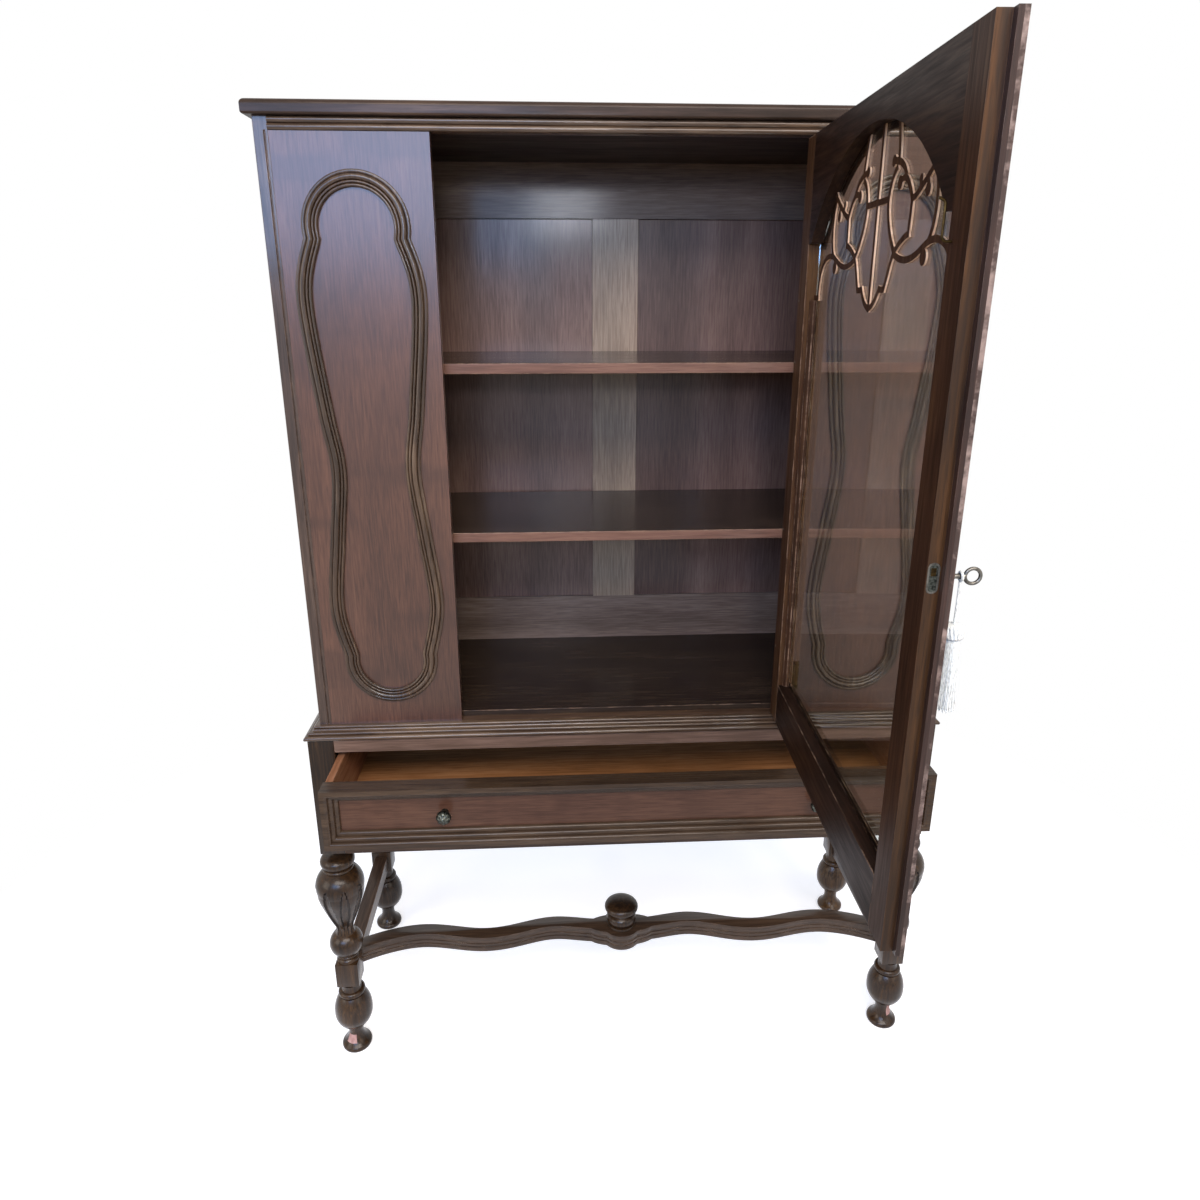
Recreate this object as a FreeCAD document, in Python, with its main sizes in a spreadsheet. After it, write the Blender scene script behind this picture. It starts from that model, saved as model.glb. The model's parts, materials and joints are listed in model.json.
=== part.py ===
# Display cupboard on turned legs, with one glazed door and one drawer.
# Millimetres. X is right, Y is back and Z is up, with the origin on the floor under the case's middle.
# The door stands open and the drawer is pulled out, as they are at rest.

import FreeCAD
import Part
import Sketcher

import os

from FreeCAD import Placement, Rotation, Vector

doc = FreeCAD.newDocument("display_cupboard")
sheet = doc.addObject("Spreadsheet::Sheet", "Sizes")

# Driving sizes, one cell each
SIZES = {
    # whole cupboard
    "total_height": 1620,
    "case_width": 1032,
    "lower_depth": 370,
    "step_out": 18.5,
    "leg_height": 442,
    "lower_height": 222,
    "waist_height": 21,
    "waist_reach": 23,
    "top_thick": 19.5,
    "top_overhang": 11,
    "top_round": 7,
    "ceiling_drop": 8,
    # upper case
    "board": 18,
    "post_wide": 20,
    "post_groove": 2,
    "header_height": 18,
    "header_reach": 3.5,
    "opening_width": 559,
    "floor_thick": 20,
    "floor_above_waist": 9,
    "shelf_thick": 16,
    "shelf_set_back": 33,
    "shelf_low_rise": 310,
    "shelf_high_rise": 577,
    "dado_deep": 6,
    "back_thick": 16,
    "back_panel_thick": 6,
    "back_panel_set_back": 6,
    "back_top_rail": 100,
    "back_low_rail": 90,
    "back_muntin": 84,
    # violin mouldings on the fixed front panels
    "violin_band": 23,
    "violin_rise": 8,
    "violin_top_gap": 47,
    "violin_low_gap": 41,
    "violin_side_gap": 16.25,
    # lower case
    "leg_square": 43,
    "low_rail_thick": 22,
    "top_rail_thick": 30,
    "top_rail_tall": 23,
    "low_rail_tall": 87,
    "low_side_thick": 22,
    "low_side_set_in": 4,
    "runner_wide": 46,
    "runner_thick": 18,
    "guide_tall": 20,
    # turned legs
    "foot_radius": 27.5,
    "foot_tall": 11,
    "ankle_radius": 13.5,
    "ankle_tall": 37,
    "ball_radius": 34.5,
    "ball_tall": 74,
    "collar_radius": 23,
    "collar_tall": 29,
    "block_side": 41,
    "block_tall": 50,
    "shoulder_tall": 8,
    "wrist_radius": 16,
    "wrist_tall": 6,
    "bead_radius": 29.5,
    "bead_tall": 46,
    "bulb_radius": 41.5,
    "neck_radius": 23,
    "neck_tall": 16,
    "neck_ring_radius": 27,
    "neck_ring_tall": 7,
    "ring_radius": 30,
    "ring_tall": 21,
    # stretchers and finial
    "stretcher_wide": 27,
    "stretcher_tall": 31.5,
    "stretcher_below_block_top": 11,
    "cross_wide": 27.5,
    "cross_from_front": 96,
    "cross_groove": 1.5,
    "plate_radius": 38,
    "plate_swell": 66,
    "finial_radius": 32.5,
    "finial_tall": 54,
    # drawer
    "drawer_pull": 114.5,
    "drawer_gap_side": 2,
    "drawer_gap_top": 4,
    "drawer_gap_low": 2,
    "drawer_run_gap": 0.3,
    "drawer_deep": 300,
    "drawer_front_thick": 31,
    "drawer_mould_wide": 25,
    "drawer_mould_deep": 19,
    "drawer_reed": 2.6,
    "drawer_wall": 12,
    "drawer_side_drop": 6,
    "drawer_bottom_thick": 6,
    "drawer_bottom_up": 8,
    "drawer_groove": 5,
    "knob_radius": 12,
    "knob_reach": 27,
    "knob_place": 300,
    # door
    "door_open_angle": 88.2,
    "door_gap_side": 2.5,
    "door_gap_top": 5,
    "door_gap_low": 7,
    "door_inset": 13,
    "door_front_thick": 10,
    "door_lip": 8,
    "lip_clear": 0.5,
    "door_stile": 39,
    "door_low_rail": 68,
    "door_top_rail": 30.5,
    "arch_rise": 109.5,
    "arch_shoulder": 13,
    "glass_thick": 3,
    "glass_stop": 8,
    "glass_stop_thick": 4,
    "glass_clear": 0.3,
    "bead_side": 8,
    "bead_deep": 9,
    "fret_thick": 2.2,
    "fret_set_back": 13.5,
    "fret_drop": 197,
    "fret_strand": 7,
    "fret_clear": 0.3,
    # hinges
    "pivot_in": 7.5,
    "pivot_out": 14,
    "hinge_tall": 50,
    "hinge_from_end": 38,
    "hinge_plate": 1.8,
    "hinge_leaf": 25,
    "barrel_radius": 3.5,
    "barrel_clear": 1,
    "tongue_relief": 0.5,
    "pin_radius": 1.6,
    "pin_clear": 0.05,
    "knuckle_gap": 0.2,
    # lock, key and tassel
    "lock_height": 1117.5,
    "lock_tall": 28,
    "lock_wide": 9,
    "lock_deep": 28,
    "key_in": 18,
    "key_below_lock": 4,
    "key_radius": 2.5,
    "key_clear": 0.1,
    "key_out": 22,
    "bow_radius": 7.5,
    "bow_wire": 1.8,
    "bolt_thick": 5,
    "bolt_tall": 8,
    "bolt_long": 14,
    "bolt_throw": 8,
    "bolt_clear": 0.1,
    "bolt_above_lock": 2,
    "strike_clear": 0.5,
    "strike_extra": 2,
    "cord_radius": 1.4,
    "loop_clear": 0.3,
    "cord_drop": 49,
    "tassel_out": 18,
    "tassel_head_radius": 10.5,
    "tassel_head_tall": 15,
    "tassel_skirt_radius": 10.5,
    "tassel_skirt_tall": 76,
}
for row, (alias, number) in enumerate(SIZES.items(), start=1):
    sheet.set("A%d" % row, alias)
    sheet.set("B%d" % row, str(number))
    sheet.setAlias("B%d" % row, alias)
doc.recompute()


class Size:
    """A length that keeps the sheet expression it comes from beside its value."""

    def __init__(self, text, value):
        self.text = text
        self.value = value

    def __float__(self):
        return self.value

    def __add__(self, other):
        other = sized(other)
        return Size("(%s + %s)" % (self.text, other.text), self.value + other.value)

    def __sub__(self, other):
        other = sized(other)
        return Size("(%s - %s)" % (self.text, other.text), self.value - other.value)

    def __mul__(self, other):
        other = sized(other)
        return Size("(%s * %s)" % (self.text, other.text), self.value * other.value)

    def __truediv__(self, other):
        other = sized(other)
        return Size("(%s / %s)" % (self.text, other.text), self.value / other.value)

    def __neg__(self):
        return Size("(0 - %s)" % self.text, -self.value)


def sized(number):
    """A plain number as a Size, so that both can meet in one sum."""
    if isinstance(number, Size):
        return number
    return Size(repr(float(number)), float(number))


def cell(alias):
    """The driving size with this alias."""
    return Size("Sizes.%s" % alias, float(sheet.get(alias)))


# Levels and planes that several pieces share
half_width = cell("case_width") / 2
y_back = cell("lower_depth") / 2
y_low_front = -y_back
y_front = y_low_front + cell("step_out")
low_half = half_width + cell("step_out")
z_under = cell("leg_height")
z_low_top = z_under + cell("lower_height")
z_waist = z_low_top + cell("waist_height")
z_top_under = cell("total_height") - cell("top_thick")
z_header = z_top_under - cell("header_height")
post_in = half_width - cell("post_wide")
side_in = half_width - cell("board")
y_panel_back = y_front + cell("board")
y_back_front = y_back - cell("back_thick")
half_open = cell("opening_width") / 2
z_floor = z_waist + cell("floor_above_waist")
leg_x = low_half - cell("leg_square") / 2
leg_y = y_back - cell("leg_square") / 2
head_in = low_half - cell("leg_square")
z_drawer_low = z_under + cell("low_rail_tall")
z_drawer_high = z_low_top - cell("top_rail_tall")

# The door as it closes: its inset part, its front face and its sight opening
door_half = half_open - cell("door_gap_side")
door_low = z_waist + cell("door_gap_low")
door_high = z_header - cell("door_gap_top")
y_door_in = y_front + cell("door_inset")
y_door_front = y_front - cell("door_front_thick")
sight_half = door_half - cell("door_stile")
y_stop = y_door_front + cell("glass_stop_thick")
y_glass_in = y_stop + cell("glass_thick")
z_sight_low = door_low + cell("door_low_rail")
z_apex = door_high - cell("door_top_rail")
z_shoulder = z_apex - cell("arch_rise")
arch_half = sight_half - cell("arch_shoulder")
arch_radius = (arch_half * arch_half + cell("arch_rise") * cell("arch_rise")) / (cell("arch_rise") * 2)
z_arch_centre = z_apex - arch_radius
pivot_x = half_open - cell("pivot_in")
pivot_y = y_front - cell("pivot_out")

parts = []

# How far a cutter runs past the faces it leaves
PAST = 1


def keep(item, label):
    """Name a finished sub-part and put it on the list of those that are written."""
    item.Label = label
    parts.append(item)
    return item


def box(x_low, x_high, y_low, y_high, z_low, z_high, name="board_stock"):
    """A board between two planes on each axis, bound to the sheet."""
    item = doc.addObject("Part::Box", name)
    spans = (("Length", "x", x_low, x_high), ("Width", "y", y_low, y_high), ("Height", "z", z_low, z_high))
    for side, axis, low, high in spans:
        low = sized(low)
        high = sized(high)
        item.setExpression(side, "%s - %s" % (high.text, low.text))
        item.setExpression("Placement.Base.%s" % axis, low.text)
    return item


def rod(x, y, z, radius, length, axis):
    """A round bar from a point, along Y or up Z, bound to the sheet."""
    item = doc.addObject("Part::Cylinder", "rod_stock")
    item.setExpression("Radius", sized(radius).text)
    item.setExpression("Height", sized(length).text)
    if axis == "Y":
        item.Placement.Rotation = Rotation(Vector(1, 0, 0), -90)
    for name, place in (("x", x), ("y", y), ("z", z)):
        item.setExpression("Placement.Base.%s" % name, sized(place).text)
    return item


def fuse(*items):
    """One piece from several that overlap or share faces."""
    item = doc.addObject("Part::MultiFuse", "joined_stock")
    item.Shapes = list(items)
    item.Refine = True
    return item


def cut(base, *tools):
    """A piece with other shapes taken out of it, one after the other."""
    for tool in tools:
        item = doc.addObject("Part::Cut", "cut_stock")
        item.Base = base
        item.Tool = tool
        base = item
    return base


def feature(shape):
    """A piece whose form is worked out with Part's own functions."""
    item = doc.addObject("Part::Feature", "shaped_stock")
    item.Shape = shape
    return item


def polygon(points):
    """A closed wire through points."""
    return Part.makePolygon(points + points[:1])


def prism(points, direction):
    """A solid from a flat outline."""
    return Part.Face(polygon(points)).extrude(direction)


def reeds(start, end, count, rise):
    """Edges of a row of half-round reeds from start to end, standing out by rise on one side."""
    step = (end - start) / count
    out = Vector(step.y, -step.x, 0).normalize() * rise
    edges = []
    for index in range(count):
        low = start + step * index
        high = low + step
        edges.append(Part.Arc(low, (low + high) / 2 + out, high).toShape())
    return edges


def plane_of(item, role):
    """One of a body's own origin planes or axes."""
    return [part for part in item.Origin.OriginFeatures if part.Role == role][0]


def sketch_on(body, role, name, lift=None):
    """A sketch on one of the body's origin planes, raised by a size where one is given."""
    sketch = body.newObject("Sketcher::SketchObject", name)
    sketch.AttachmentSupport = (plane_of(body, role), [""])
    sketch.MapMode = "FlatFace"
    if lift is not None:
        sketch.setExpression("AttachmentOffset.Base.z", lift.text)
    return sketch


def turned(name, outline):
    """A body turned on the Z axis from an outline of lines and arcs in radius and height."""
    body = doc.addObject("PartDesign::Body", name)
    sketch = sketch_on(body, "XZ_Plane", name + "_outline")
    sketch.addGeometry(outline, False)
    turn = body.newObject("PartDesign::Revolution", name + "_turn")
    turn.Profile = sketch
    turn.ReferenceAxis = (sketch, ["V_Axis"])
    turn.Angle = 360
    return body


def square_pad(body, name, side, low, height):
    """A square block on the body's axis, bound to the sheet."""
    sketch = sketch_on(body, "XY_Plane", name + "_square", low)
    half = float(side) / 2
    corners = [Vector(-half, -half, 0), Vector(half, -half, 0), Vector(half, half, 0), Vector(-half, half, 0)]
    for index in range(4):
        sketch.addGeometry(Part.LineSegment(corners[index], corners[(index + 1) % 4]), False)
    for index in range(4):
        sketch.addConstraint(Sketcher.Constraint("Coincident", index, 2, (index + 1) % 4, 1))
    for index, kind in ((0, "Horizontal"), (2, "Horizontal"), (1, "Vertical"), (3, "Vertical")):
        sketch.addConstraint(Sketcher.Constraint(kind, index))
    sketch.addConstraint(Sketcher.Constraint("Symmetric", 0, 1, 2, 1, -1, 1))
    wide = sketch.addConstraint(Sketcher.Constraint("DistanceX", 0, 1, 0, 2, 2 * half))
    tall = sketch.addConstraint(Sketcher.Constraint("DistanceY", 1, 1, 1, 2, 2 * half))
    sketch.setExpression("Constraints[%d]" % wide, side.text)
    sketch.setExpression("Constraints[%d]" % tall, side.text)
    pad = body.newObject("PartDesign::Pad", name + "_pad")
    pad.Profile = sketch
    pad.setExpression("Length", height.text)
    return pad


def curve_through(points):
    """A smooth curve through points in the plan or panel plane."""
    curve = Part.BSplineCurve()
    curve.interpolate(points)
    return curve


def ribbon(points, width, depth):
    """A band of even width along a smooth curve through points in the XY plane, extruded up Z."""
    path = curve_through(points)
    count = 3 * (len(points) - 1)
    left = []
    right = []
    for index in range(count + 1):
        at = path.FirstParameter + (path.LastParameter - path.FirstParameter) * index / count
        along = path.tangent(at)[0]
        across = Vector(-along.y, along.x, 0) * (width / 2)
        left.append(path.value(at) + across)
        right.append(path.value(at) - across)
    edges = [
        curve_through(left).toShape(),
        Part.makeLine(left[-1], right[-1]),
        curve_through(right).toShape(),
        Part.makeLine(right[0], left[0]),
    ]
    return Part.Face(Part.Wire(Part.__sortEdges__(edges))).extrude(Vector(0, 0, depth))


def mirrored(shape, normal):
    """The shape's mirror image through the origin."""
    return shape.mirror(Vector(0, 0, 0), normal)


# Top board, with its moulded edge on the front and both ends

def top_board():
    reach = half_width + cell("top_overhang")
    stock = box(-reach, reach, y_front - cell("top_overhang"), y_back, z_top_under, cell("total_height"))
    doc.recompute()
    rounded = doc.addObject("Part::Fillet", "top_rounded")
    rounded.Base = stock
    big = float(cell("top_round"))
    edges = []
    for index, edge in enumerate(stock.Shape.Edges, start=1):
        middle = edge.CenterOfMass
        level = abs(middle.z - float(cell("total_height"))) < 0.01 or abs(middle.z - float(z_top_under)) < 0.01
        at_back = abs(middle.y - float(y_back)) < 0.01
        if level and not at_back:
            size = big if middle.z > float(z_top_under) + 1 else big / 2
            edges.append((index, size, size))
    rounded.Edges = edges
    ceiling = box(
        -side_in, side_in, y_panel_back, y_back_front, z_top_under - cell("ceiling_drop"), z_top_under
    )
    keep(fuse(rounded, ceiling), "top_board")


# Header moulding under the top board, with two reeds on its face

def header():
    low = float(z_header)
    high = float(z_top_under)
    face = float(y_front)
    back = float(y_panel_back)
    outline = [
        Part.makeLine(Vector(back, low, 0), Vector(face, low, 0)),
        Part.makeLine(Vector(face, high, 0), Vector(back, high, 0)),
        Part.makeLine(Vector(back, high, 0), Vector(back, low, 0)),
    ]
    outline += reeds(Vector(face, high, 0), Vector(face, low, 0), 2, float(cell("header_reach")))
    keep(section_along_x(outline, float(post_in)), "header_moulding")


def section_along_x(edges, half):
    """A moulding whose section is drawn with depth as X and height as Y, run from -half to half."""
    face = Part.Face(Part.Wire(Part.__sortEdges__(edges)))
    turn = Placement(Vector(-half, 0, 0), Rotation(Vector(0, 1, 0), Vector(0, 0, 1), Vector(1, 0, 0), "XYZ"))
    face.Placement = turn
    return feature(face.extrude(Vector(2 * half, 0, 0)))


# Waist moulding round three sides, mitred at the front corners

def waist():
    low = float(z_low_top)
    tall = float(cell("waist_height"))
    reach = float(cell("waist_reach"))
    front = float(y_front)
    half = float(half_width)
    back = float(y_back)

    def at(out, up):
        return Vector(reach * out, low + tall * up, 0)

    def section():
        return [
            Part.makeLine(at(0, 0), at(0.84, 0)),
            Part.Arc(at(0.84, 0), at(1, 0.19), at(0.84, 0.38)).toShape(),
            Part.makeLine(at(0.84, 0.38), at(0.64, 0.38)),
            Part.Arc(at(0.64, 0.38), at(0.74, 0.5), at(0.62, 0.62)).toShape(),
            Part.makeLine(at(0.62, 0.62), at(0.54, 0.62)),
            Part.Arc(at(0.54, 0.62), at(0.42, 0.67), at(0.38, 0.77)).toShape(),
            Part.makeLine(at(0.38, 0.77), at(0.26, 0.77)),
            Part.Arc(at(0.26, 0.77), at(0.36, 0.885), at(0.26, 1)).toShape(),
            Part.makeLine(at(0.26, 1), at(0, 1)),
            Part.makeLine(at(0, 1), at(0, 0)),
        ]

    def run(length):
        face = Part.Face(Part.Wire(Part.__sortEdges__(section())))
        face.Placement = Placement(
            Vector(0, 0, 0), Rotation(Vector(0, -1, 0), Vector(0, 0, 1), Vector(-1, 0, 0), "XYZ")
        )
        return face.extrude(Vector(length, 0, 0))

    far = reach * 1.2
    front_run = run(2 * (half + far))
    front_run.translate(Vector(-half - far, front, 0))
    plan = [
        Vector(-half, front, low),
        Vector(half, front, low),
        Vector(half + far, front - far, low),
        Vector(-half - far, front - far, low),
    ]
    keep(feature(front_run.common(prism(plan, Vector(0, 0, tall)))), "waist_front")
    side_run = run(back - front + far)
    side_run.rotate(Vector(0, 0, 0), Vector(0, 0, 1), -90)
    side_run.translate(Vector(-half, back, 0))
    plan = [
        Vector(-half, front, low),
        Vector(-half, back, low),
        Vector(-half - far, back, low),
        Vector(-half - far, front - far, low),
    ]
    left = side_run.common(prism(plan, Vector(0, 0, tall)))
    keep(feature(left), "waist_left")
    keep(feature(mirrored(left, Vector(1, 0, 0))), "waist_right")


# Upper case: posts, sides, fixed panels, floor, sill and shelves

def posts():
    groove = cell("post_groove")
    groove_at = post_in + groove * 2
    for name, sign in (("left", -1), ("right", 1)):
        near = sized(post_in) * sign
        far = half_width * sign
        stock = box(*ordered(near, far), y_front, y_panel_back, z_low_top, z_top_under)
        slot_near = groove_at * sign
        slot_far = (groove_at + groove) * sign
        slot = box(*ordered(slot_near, slot_far), y_front - groove, y_front + groove, z_waist, z_header)
        keep(cut(stock, slot), "post_%s" % name)


def ordered(first, second):
    """Two places with the lower one first."""
    return (first, second) if first.value < second.value else (second, first)


def shelf_levels():
    """Underside and top of the floor and of both shelves."""
    levels = [(z_floor - cell("floor_thick"), z_floor)]
    for rise in ("shelf_low_rise", "shelf_high_rise"):
        top = z_floor + cell(rise)
        levels.append((top - cell("shelf_thick"), top))
    return levels


def sides():
    for name, sign in (("left", -1), ("right", 1)):
        stock = box(*ordered(side_in * sign, half_width * sign), y_panel_back, y_back, z_low_top, z_top_under)
        dado_far = (side_in + cell("dado_deep")) * sign
        tools = []
        for level, (low, high) in enumerate(shelf_levels()):
            start = y_panel_back if level == 0 else y_front + cell("shelf_set_back")
            tools.append(box(*ordered((side_in - cell("dado_deep")) * sign, dado_far), start, y_back_front, low, high))
        keep(cut(stock, *tools), "side_%s" % name)


def front_panels():
    for name, sign in (("left", -1), ("right", 1)):
        stock = box(*ordered(half_open * sign, post_in * sign), y_front, y_panel_back, z_low_top, z_header)
        if sign < 0:
            deep = cell("bolt_throw") + cell("strike_extra")
            clear = cell("strike_clear")
            low, high = bolt_span()
            near = -half_open
            strike = box(
                near - deep, near + PAST,
                lock_y() - cell("bolt_thick") / 2 - clear, lock_y() + cell("bolt_thick") / 2 + clear,
                low - clear, high + clear,
            )
            stock = cut(stock, strike)
        keep(stock, "front_panel_%s" % name)


def floor_sill_shelves():
    end = side_in + cell("dado_deep")
    levels = shelf_levels()
    names = ("floor_board", "shelf_low", "shelf_high")
    for name, (low, high) in zip(names, levels):
        start = y_panel_back if name == "floor_board" else y_front + cell("shelf_set_back")
        keep(box(-end, end, start, y_back_front, low, high), name)
    keep(box(-half_open, half_open, y_front, y_panel_back, z_low_top, z_waist), "door_sill")


# Back: two rails and a middle muntin round two thin panels

def back():
    rail_top = z_floor + cell("back_low_rail")
    rail_under = z_top_under - cell("back_top_rail")
    muntin = cell("back_muntin") / 2
    y_panel_front = y_back_front + cell("back_panel_set_back")
    y_panel_rear = y_panel_front + cell("back_panel_thick")
    tongue = cell("dado_deep")
    low_rail = box(-side_in, side_in, y_back_front, y_back, z_low_top, rail_top)
    top_rail = box(-side_in, side_in, y_back_front, y_back, rail_under, z_top_under)
    upright = box(-muntin, muntin, y_back_front, y_back, rail_top, rail_under)
    frame = fuse(low_rail, top_rail, upright)
    grooves = []
    for sign in (-1, 1):
        near, far = ordered((muntin - tongue) * sign, side_in * sign)
        grooves.append(box(near, far, y_panel_front, y_panel_rear, rail_top - tongue, rail_under + tongue))
    keep(cut(frame, *grooves), "back_frame")
    for name, sign in (("left", -1), ("right", 1)):
        near, far = ordered((muntin - tongue) * sign, side_in * sign)
        panel = box(near, far, y_panel_front, y_panel_rear, rail_top - tongue, rail_under + tongue)
        keep(panel, "back_panel_%s" % name)


# Violin mouldings: a reeded band with a lobe at each end and a drawn-in middle

def violin_paths():
    """Centre lines of the band, from the panel's middle: both lobes, and the right side, which laps them."""
    band = float(cell("violin_band"))
    half = float(post_in - half_open) / 2 - float(cell("violin_side_gap")) - band / 2
    lap = band / 6
    top = (float(z_header) - float(z_waist)) / 2 - float(cell("violin_top_gap")) - band / 2
    low = -(float(z_header) - float(z_waist)) / 2 + float(cell("violin_low_gap")) + band / 2
    tall = top - low
    shoulder = half * 0.77
    top_cusp = top - tall * 0.1
    low_cusp = low + tall * 0.092
    side = [
        Vector(shoulder + lap / 4, top_cusp + lap, 0),
        Vector(half, top - tall * 0.2, 0),
        Vector(half * 0.83, top - tall * 0.4, 0),
        Vector(half * 0.69, top - tall * 0.52, 0),
        Vector(half * 0.82, top - tall * 0.65, 0),
        Vector(half * 0.97, top - tall * 0.8, 0),
        Vector(shoulder - lap / 2, low_cusp - lap / 2, 0),
    ]
    lobes = []
    for tip, cusp in ((top, top_cusp), (low, low_cusp)):
        edge = Vector(shoulder, cusp, 0)
        lobes.append(Part.Arc(Vector(-shoulder, cusp, 0), Vector(0, tip, 0), edge).toShape())
    return lobes, curve_through(side).toShape()


def reeded_band(edge, band, rise):
    """Three reeds swept along a flat path, standing up from its plane."""
    start = edge.valueAt(edge.FirstParameter)
    along = edge.tangentAt(edge.FirstParameter)
    across = Vector(-along.y, along.x, 0).normalize()
    up = Vector(0, 0, 1)
    base = rise * 0.55

    def at(side, height):
        return start + across * side + up * height

    third = band / 3
    edges = [
        Part.makeLine(at(-band / 2, base), at(-band / 2, 0)),
        Part.makeLine(at(-band / 2, 0), at(band / 2, 0)),
        Part.makeLine(at(band / 2, 0), at(band / 2, base)),
    ]
    for index, height in enumerate((rise * 0.75, rise, rise * 0.75)):
        low = -band / 2 + third * index
        edges.append(Part.Arc(at(low, base), at(low + third / 2, height), at(low + third, base)).toShape())
    profile = Part.Wire(Part.__sortEdges__(edges))
    return Part.Wire([edge]).makePipeShell([profile], True, False)


def violins():
    band = float(cell("violin_band"))
    rise = float(cell("violin_rise"))
    lobes, side = violin_paths()
    right = reeded_band(side, band, rise)
    pieces = [right, mirrored(right, Vector(1, 0, 0))]
    pieces += [reeded_band(lobe, band, rise) for lobe in lobes]
    ring = pieces[0].fuse(pieces[1:]).removeSplitter()
    middle = (float(half_open) + float(post_in)) / 2
    level = (float(z_header) + float(z_waist)) / 2
    stand = Rotation(Vector(1, 0, 0), 90)
    for name, sign in (("left", -1), ("right", 1)):
        item = feature(ring.copy())
        item.Placement = Placement(Vector(middle * sign, float(y_front), level), stand)
        keep(item, "violin_%s" % name)


# Lower case: rails, sides, back and drawer runners

def lower_case():
    y_rail_back = y_low_front + cell("low_rail_thick")
    y_top_back = y_low_front + cell("top_rail_thick")
    keep(box(-head_in, head_in, y_low_front, y_top_back, z_drawer_high, z_low_top), "lower_top_rail")
    keep(box(-head_in, head_in, y_low_front, y_rail_back, z_under, z_drawer_low), "lower_front_rail")
    keep(box(-head_in, head_in, y_back - cell("low_rail_thick"), y_back, z_under, z_low_top), "lower_back")
    outer = low_half - cell("low_side_set_in")
    inner = outer - cell("low_side_thick")
    y_near = y_low_front + cell("leg_square")
    y_far = y_back - cell("leg_square")
    for name, sign in (("left", -1), ("right", 1)):
        keep(box(*ordered(inner * sign, outer * sign), y_near, y_far, z_under, z_low_top), "lower_side_%s" % name)
        run_in = (inner - cell("runner_wide")) * sign
        shelf = box(
            *ordered(run_in, inner * sign), y_near, y_far, z_drawer_low - cell("runner_thick"), z_drawer_low
        )
        guide = box(
            *ordered(head_in * sign, inner * sign), y_near, y_far, z_drawer_low, z_drawer_low + cell("guide_tall")
        )
        keep(fuse(shelf, guide), "runner_%s" % name)


# Turned legs: foot, ankle, ball, collar, block, bead, bulb, ring and neck, under a square head

def leg_outline():
    """Lines and arcs of the turning, in radius and height."""
    radius = {}
    for name in ("foot", "ankle", "ball", "collar", "wrist", "bead", "bulb", "neck_ring", "ring", "neck"):
        radius[name] = float(cell(name + "_radius"))
    tall = {}
    for name in ("foot", "ankle", "ball", "collar", "block", "shoulder", "wrist", "bead", "neck_ring", "ring", "neck"):
        tall[name] = float(cell(name + "_tall"))
    tall["bulb"] = float(z_under) - sum(tall.values())
    core = float(cell("block_side")) * 0.45
    outline = []
    place = Vector(0, 0, 0)

    def line_to(r, z):
        nonlocal place
        end = Vector(r, z, 0)
        outline.append(Part.LineSegment(place, end))
        place = end

    def arc_to(mid_r, mid_z, r, z):
        nonlocal place
        end = Vector(r, z, 0)
        outline.append(Part.Arc(place, Vector(mid_r, mid_z, 0), end))
        place = end

    # foot disc with a rounded rim, hollowed up to the ankle
    line_to(radius["foot"] * 0.9, 0)
    arc_to(radius["foot"], tall["foot"] * 0.5, radius["foot"] * 0.9, tall["foot"])
    low = tall["foot"]
    level = low + tall["ankle"]
    arc_to(radius["ankle"] * 1.25, low + tall["ankle"] * 0.25, radius["ankle"], low + tall["ankle"] * 0.7)
    line_to(radius["ankle"] * 1.1, level)
    # lower ball
    low = level
    level = low + tall["ball"]
    arc_to(radius["ball"] * 0.87, low + tall["ball"] * 0.22, radius["ball"], low + tall["ball"] * 0.5)
    arc_to(radius["ball"] * 0.92, low + tall["ball"] * 0.76, radius["collar"], level)
    # collar: a ring, then a hollow up to the block
    low = level
    level = low + tall["collar"]
    line_to(radius["collar"] * 0.88, low)
    arc_to(radius["collar"] * 1.06, low + tall["collar"] * 0.2, radius["collar"] * 0.88, low + tall["collar"] * 0.4)
    line_to(radius["collar"] * 0.82, low + tall["collar"] * 0.4)
    arc_to(radius["collar"] * 0.78, low + tall["collar"] * 0.7, radius["collar"] * 0.88, level)
    # core inside the square block
    line_to(core, level)
    level += tall["block"]
    line_to(core, level)
    line_to(radius["collar"] * 0.88, level)
    # shoulder over the block, and a small ring
    low = level
    level = low + tall["shoulder"]
    arc_to(radius["collar"] * 0.84, low + tall["shoulder"] * 0.6, radius["wrist"], level)
    low = level
    level = low + tall["wrist"]
    arc_to(radius["wrist"] * 1.15, low + tall["wrist"] * 0.5, radius["wrist"], level)
    # bead
    low = level
    level = low + tall["bead"]
    arc_to(radius["bead"], low + tall["bead"] * 0.54, radius["wrist"] * 1.1, level)
    # bulb: a long taper from its narrow foot, full above
    low = level
    level = low + tall["bulb"]
    arc_to(radius["wrist"] * 0.98, low + tall["bulb"] * 0.08, radius["bulb"] * 0.44, low + tall["bulb"] * 0.16)
    arc_to(radius["bulb"] * 0.69, low + tall["bulb"] * 0.35, radius["bulb"] * 0.88, low + tall["bulb"] * 0.52)
    arc_to(radius["bulb"] * 0.97, low + tall["bulb"] * 0.62, radius["bulb"], low + tall["bulb"] * 0.71)
    arc_to(radius["bulb"] * 0.9, low + tall["bulb"] * 0.9, radius["neck"], level)
    # small ring, flaring ring and neck
    low = level
    level = low + tall["neck_ring"]
    arc_to(radius["neck_ring"], (low + level) / 2, radius["neck"], level)
    low = level
    level = low + tall["ring"]
    arc_to(radius["ring"], low + tall["ring"] * 0.5, radius["neck"], level)
    line_to(radius["neck"], float(z_under))
    line_to(0, float(z_under))
    line_to(0, 0)
    return outline


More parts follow.
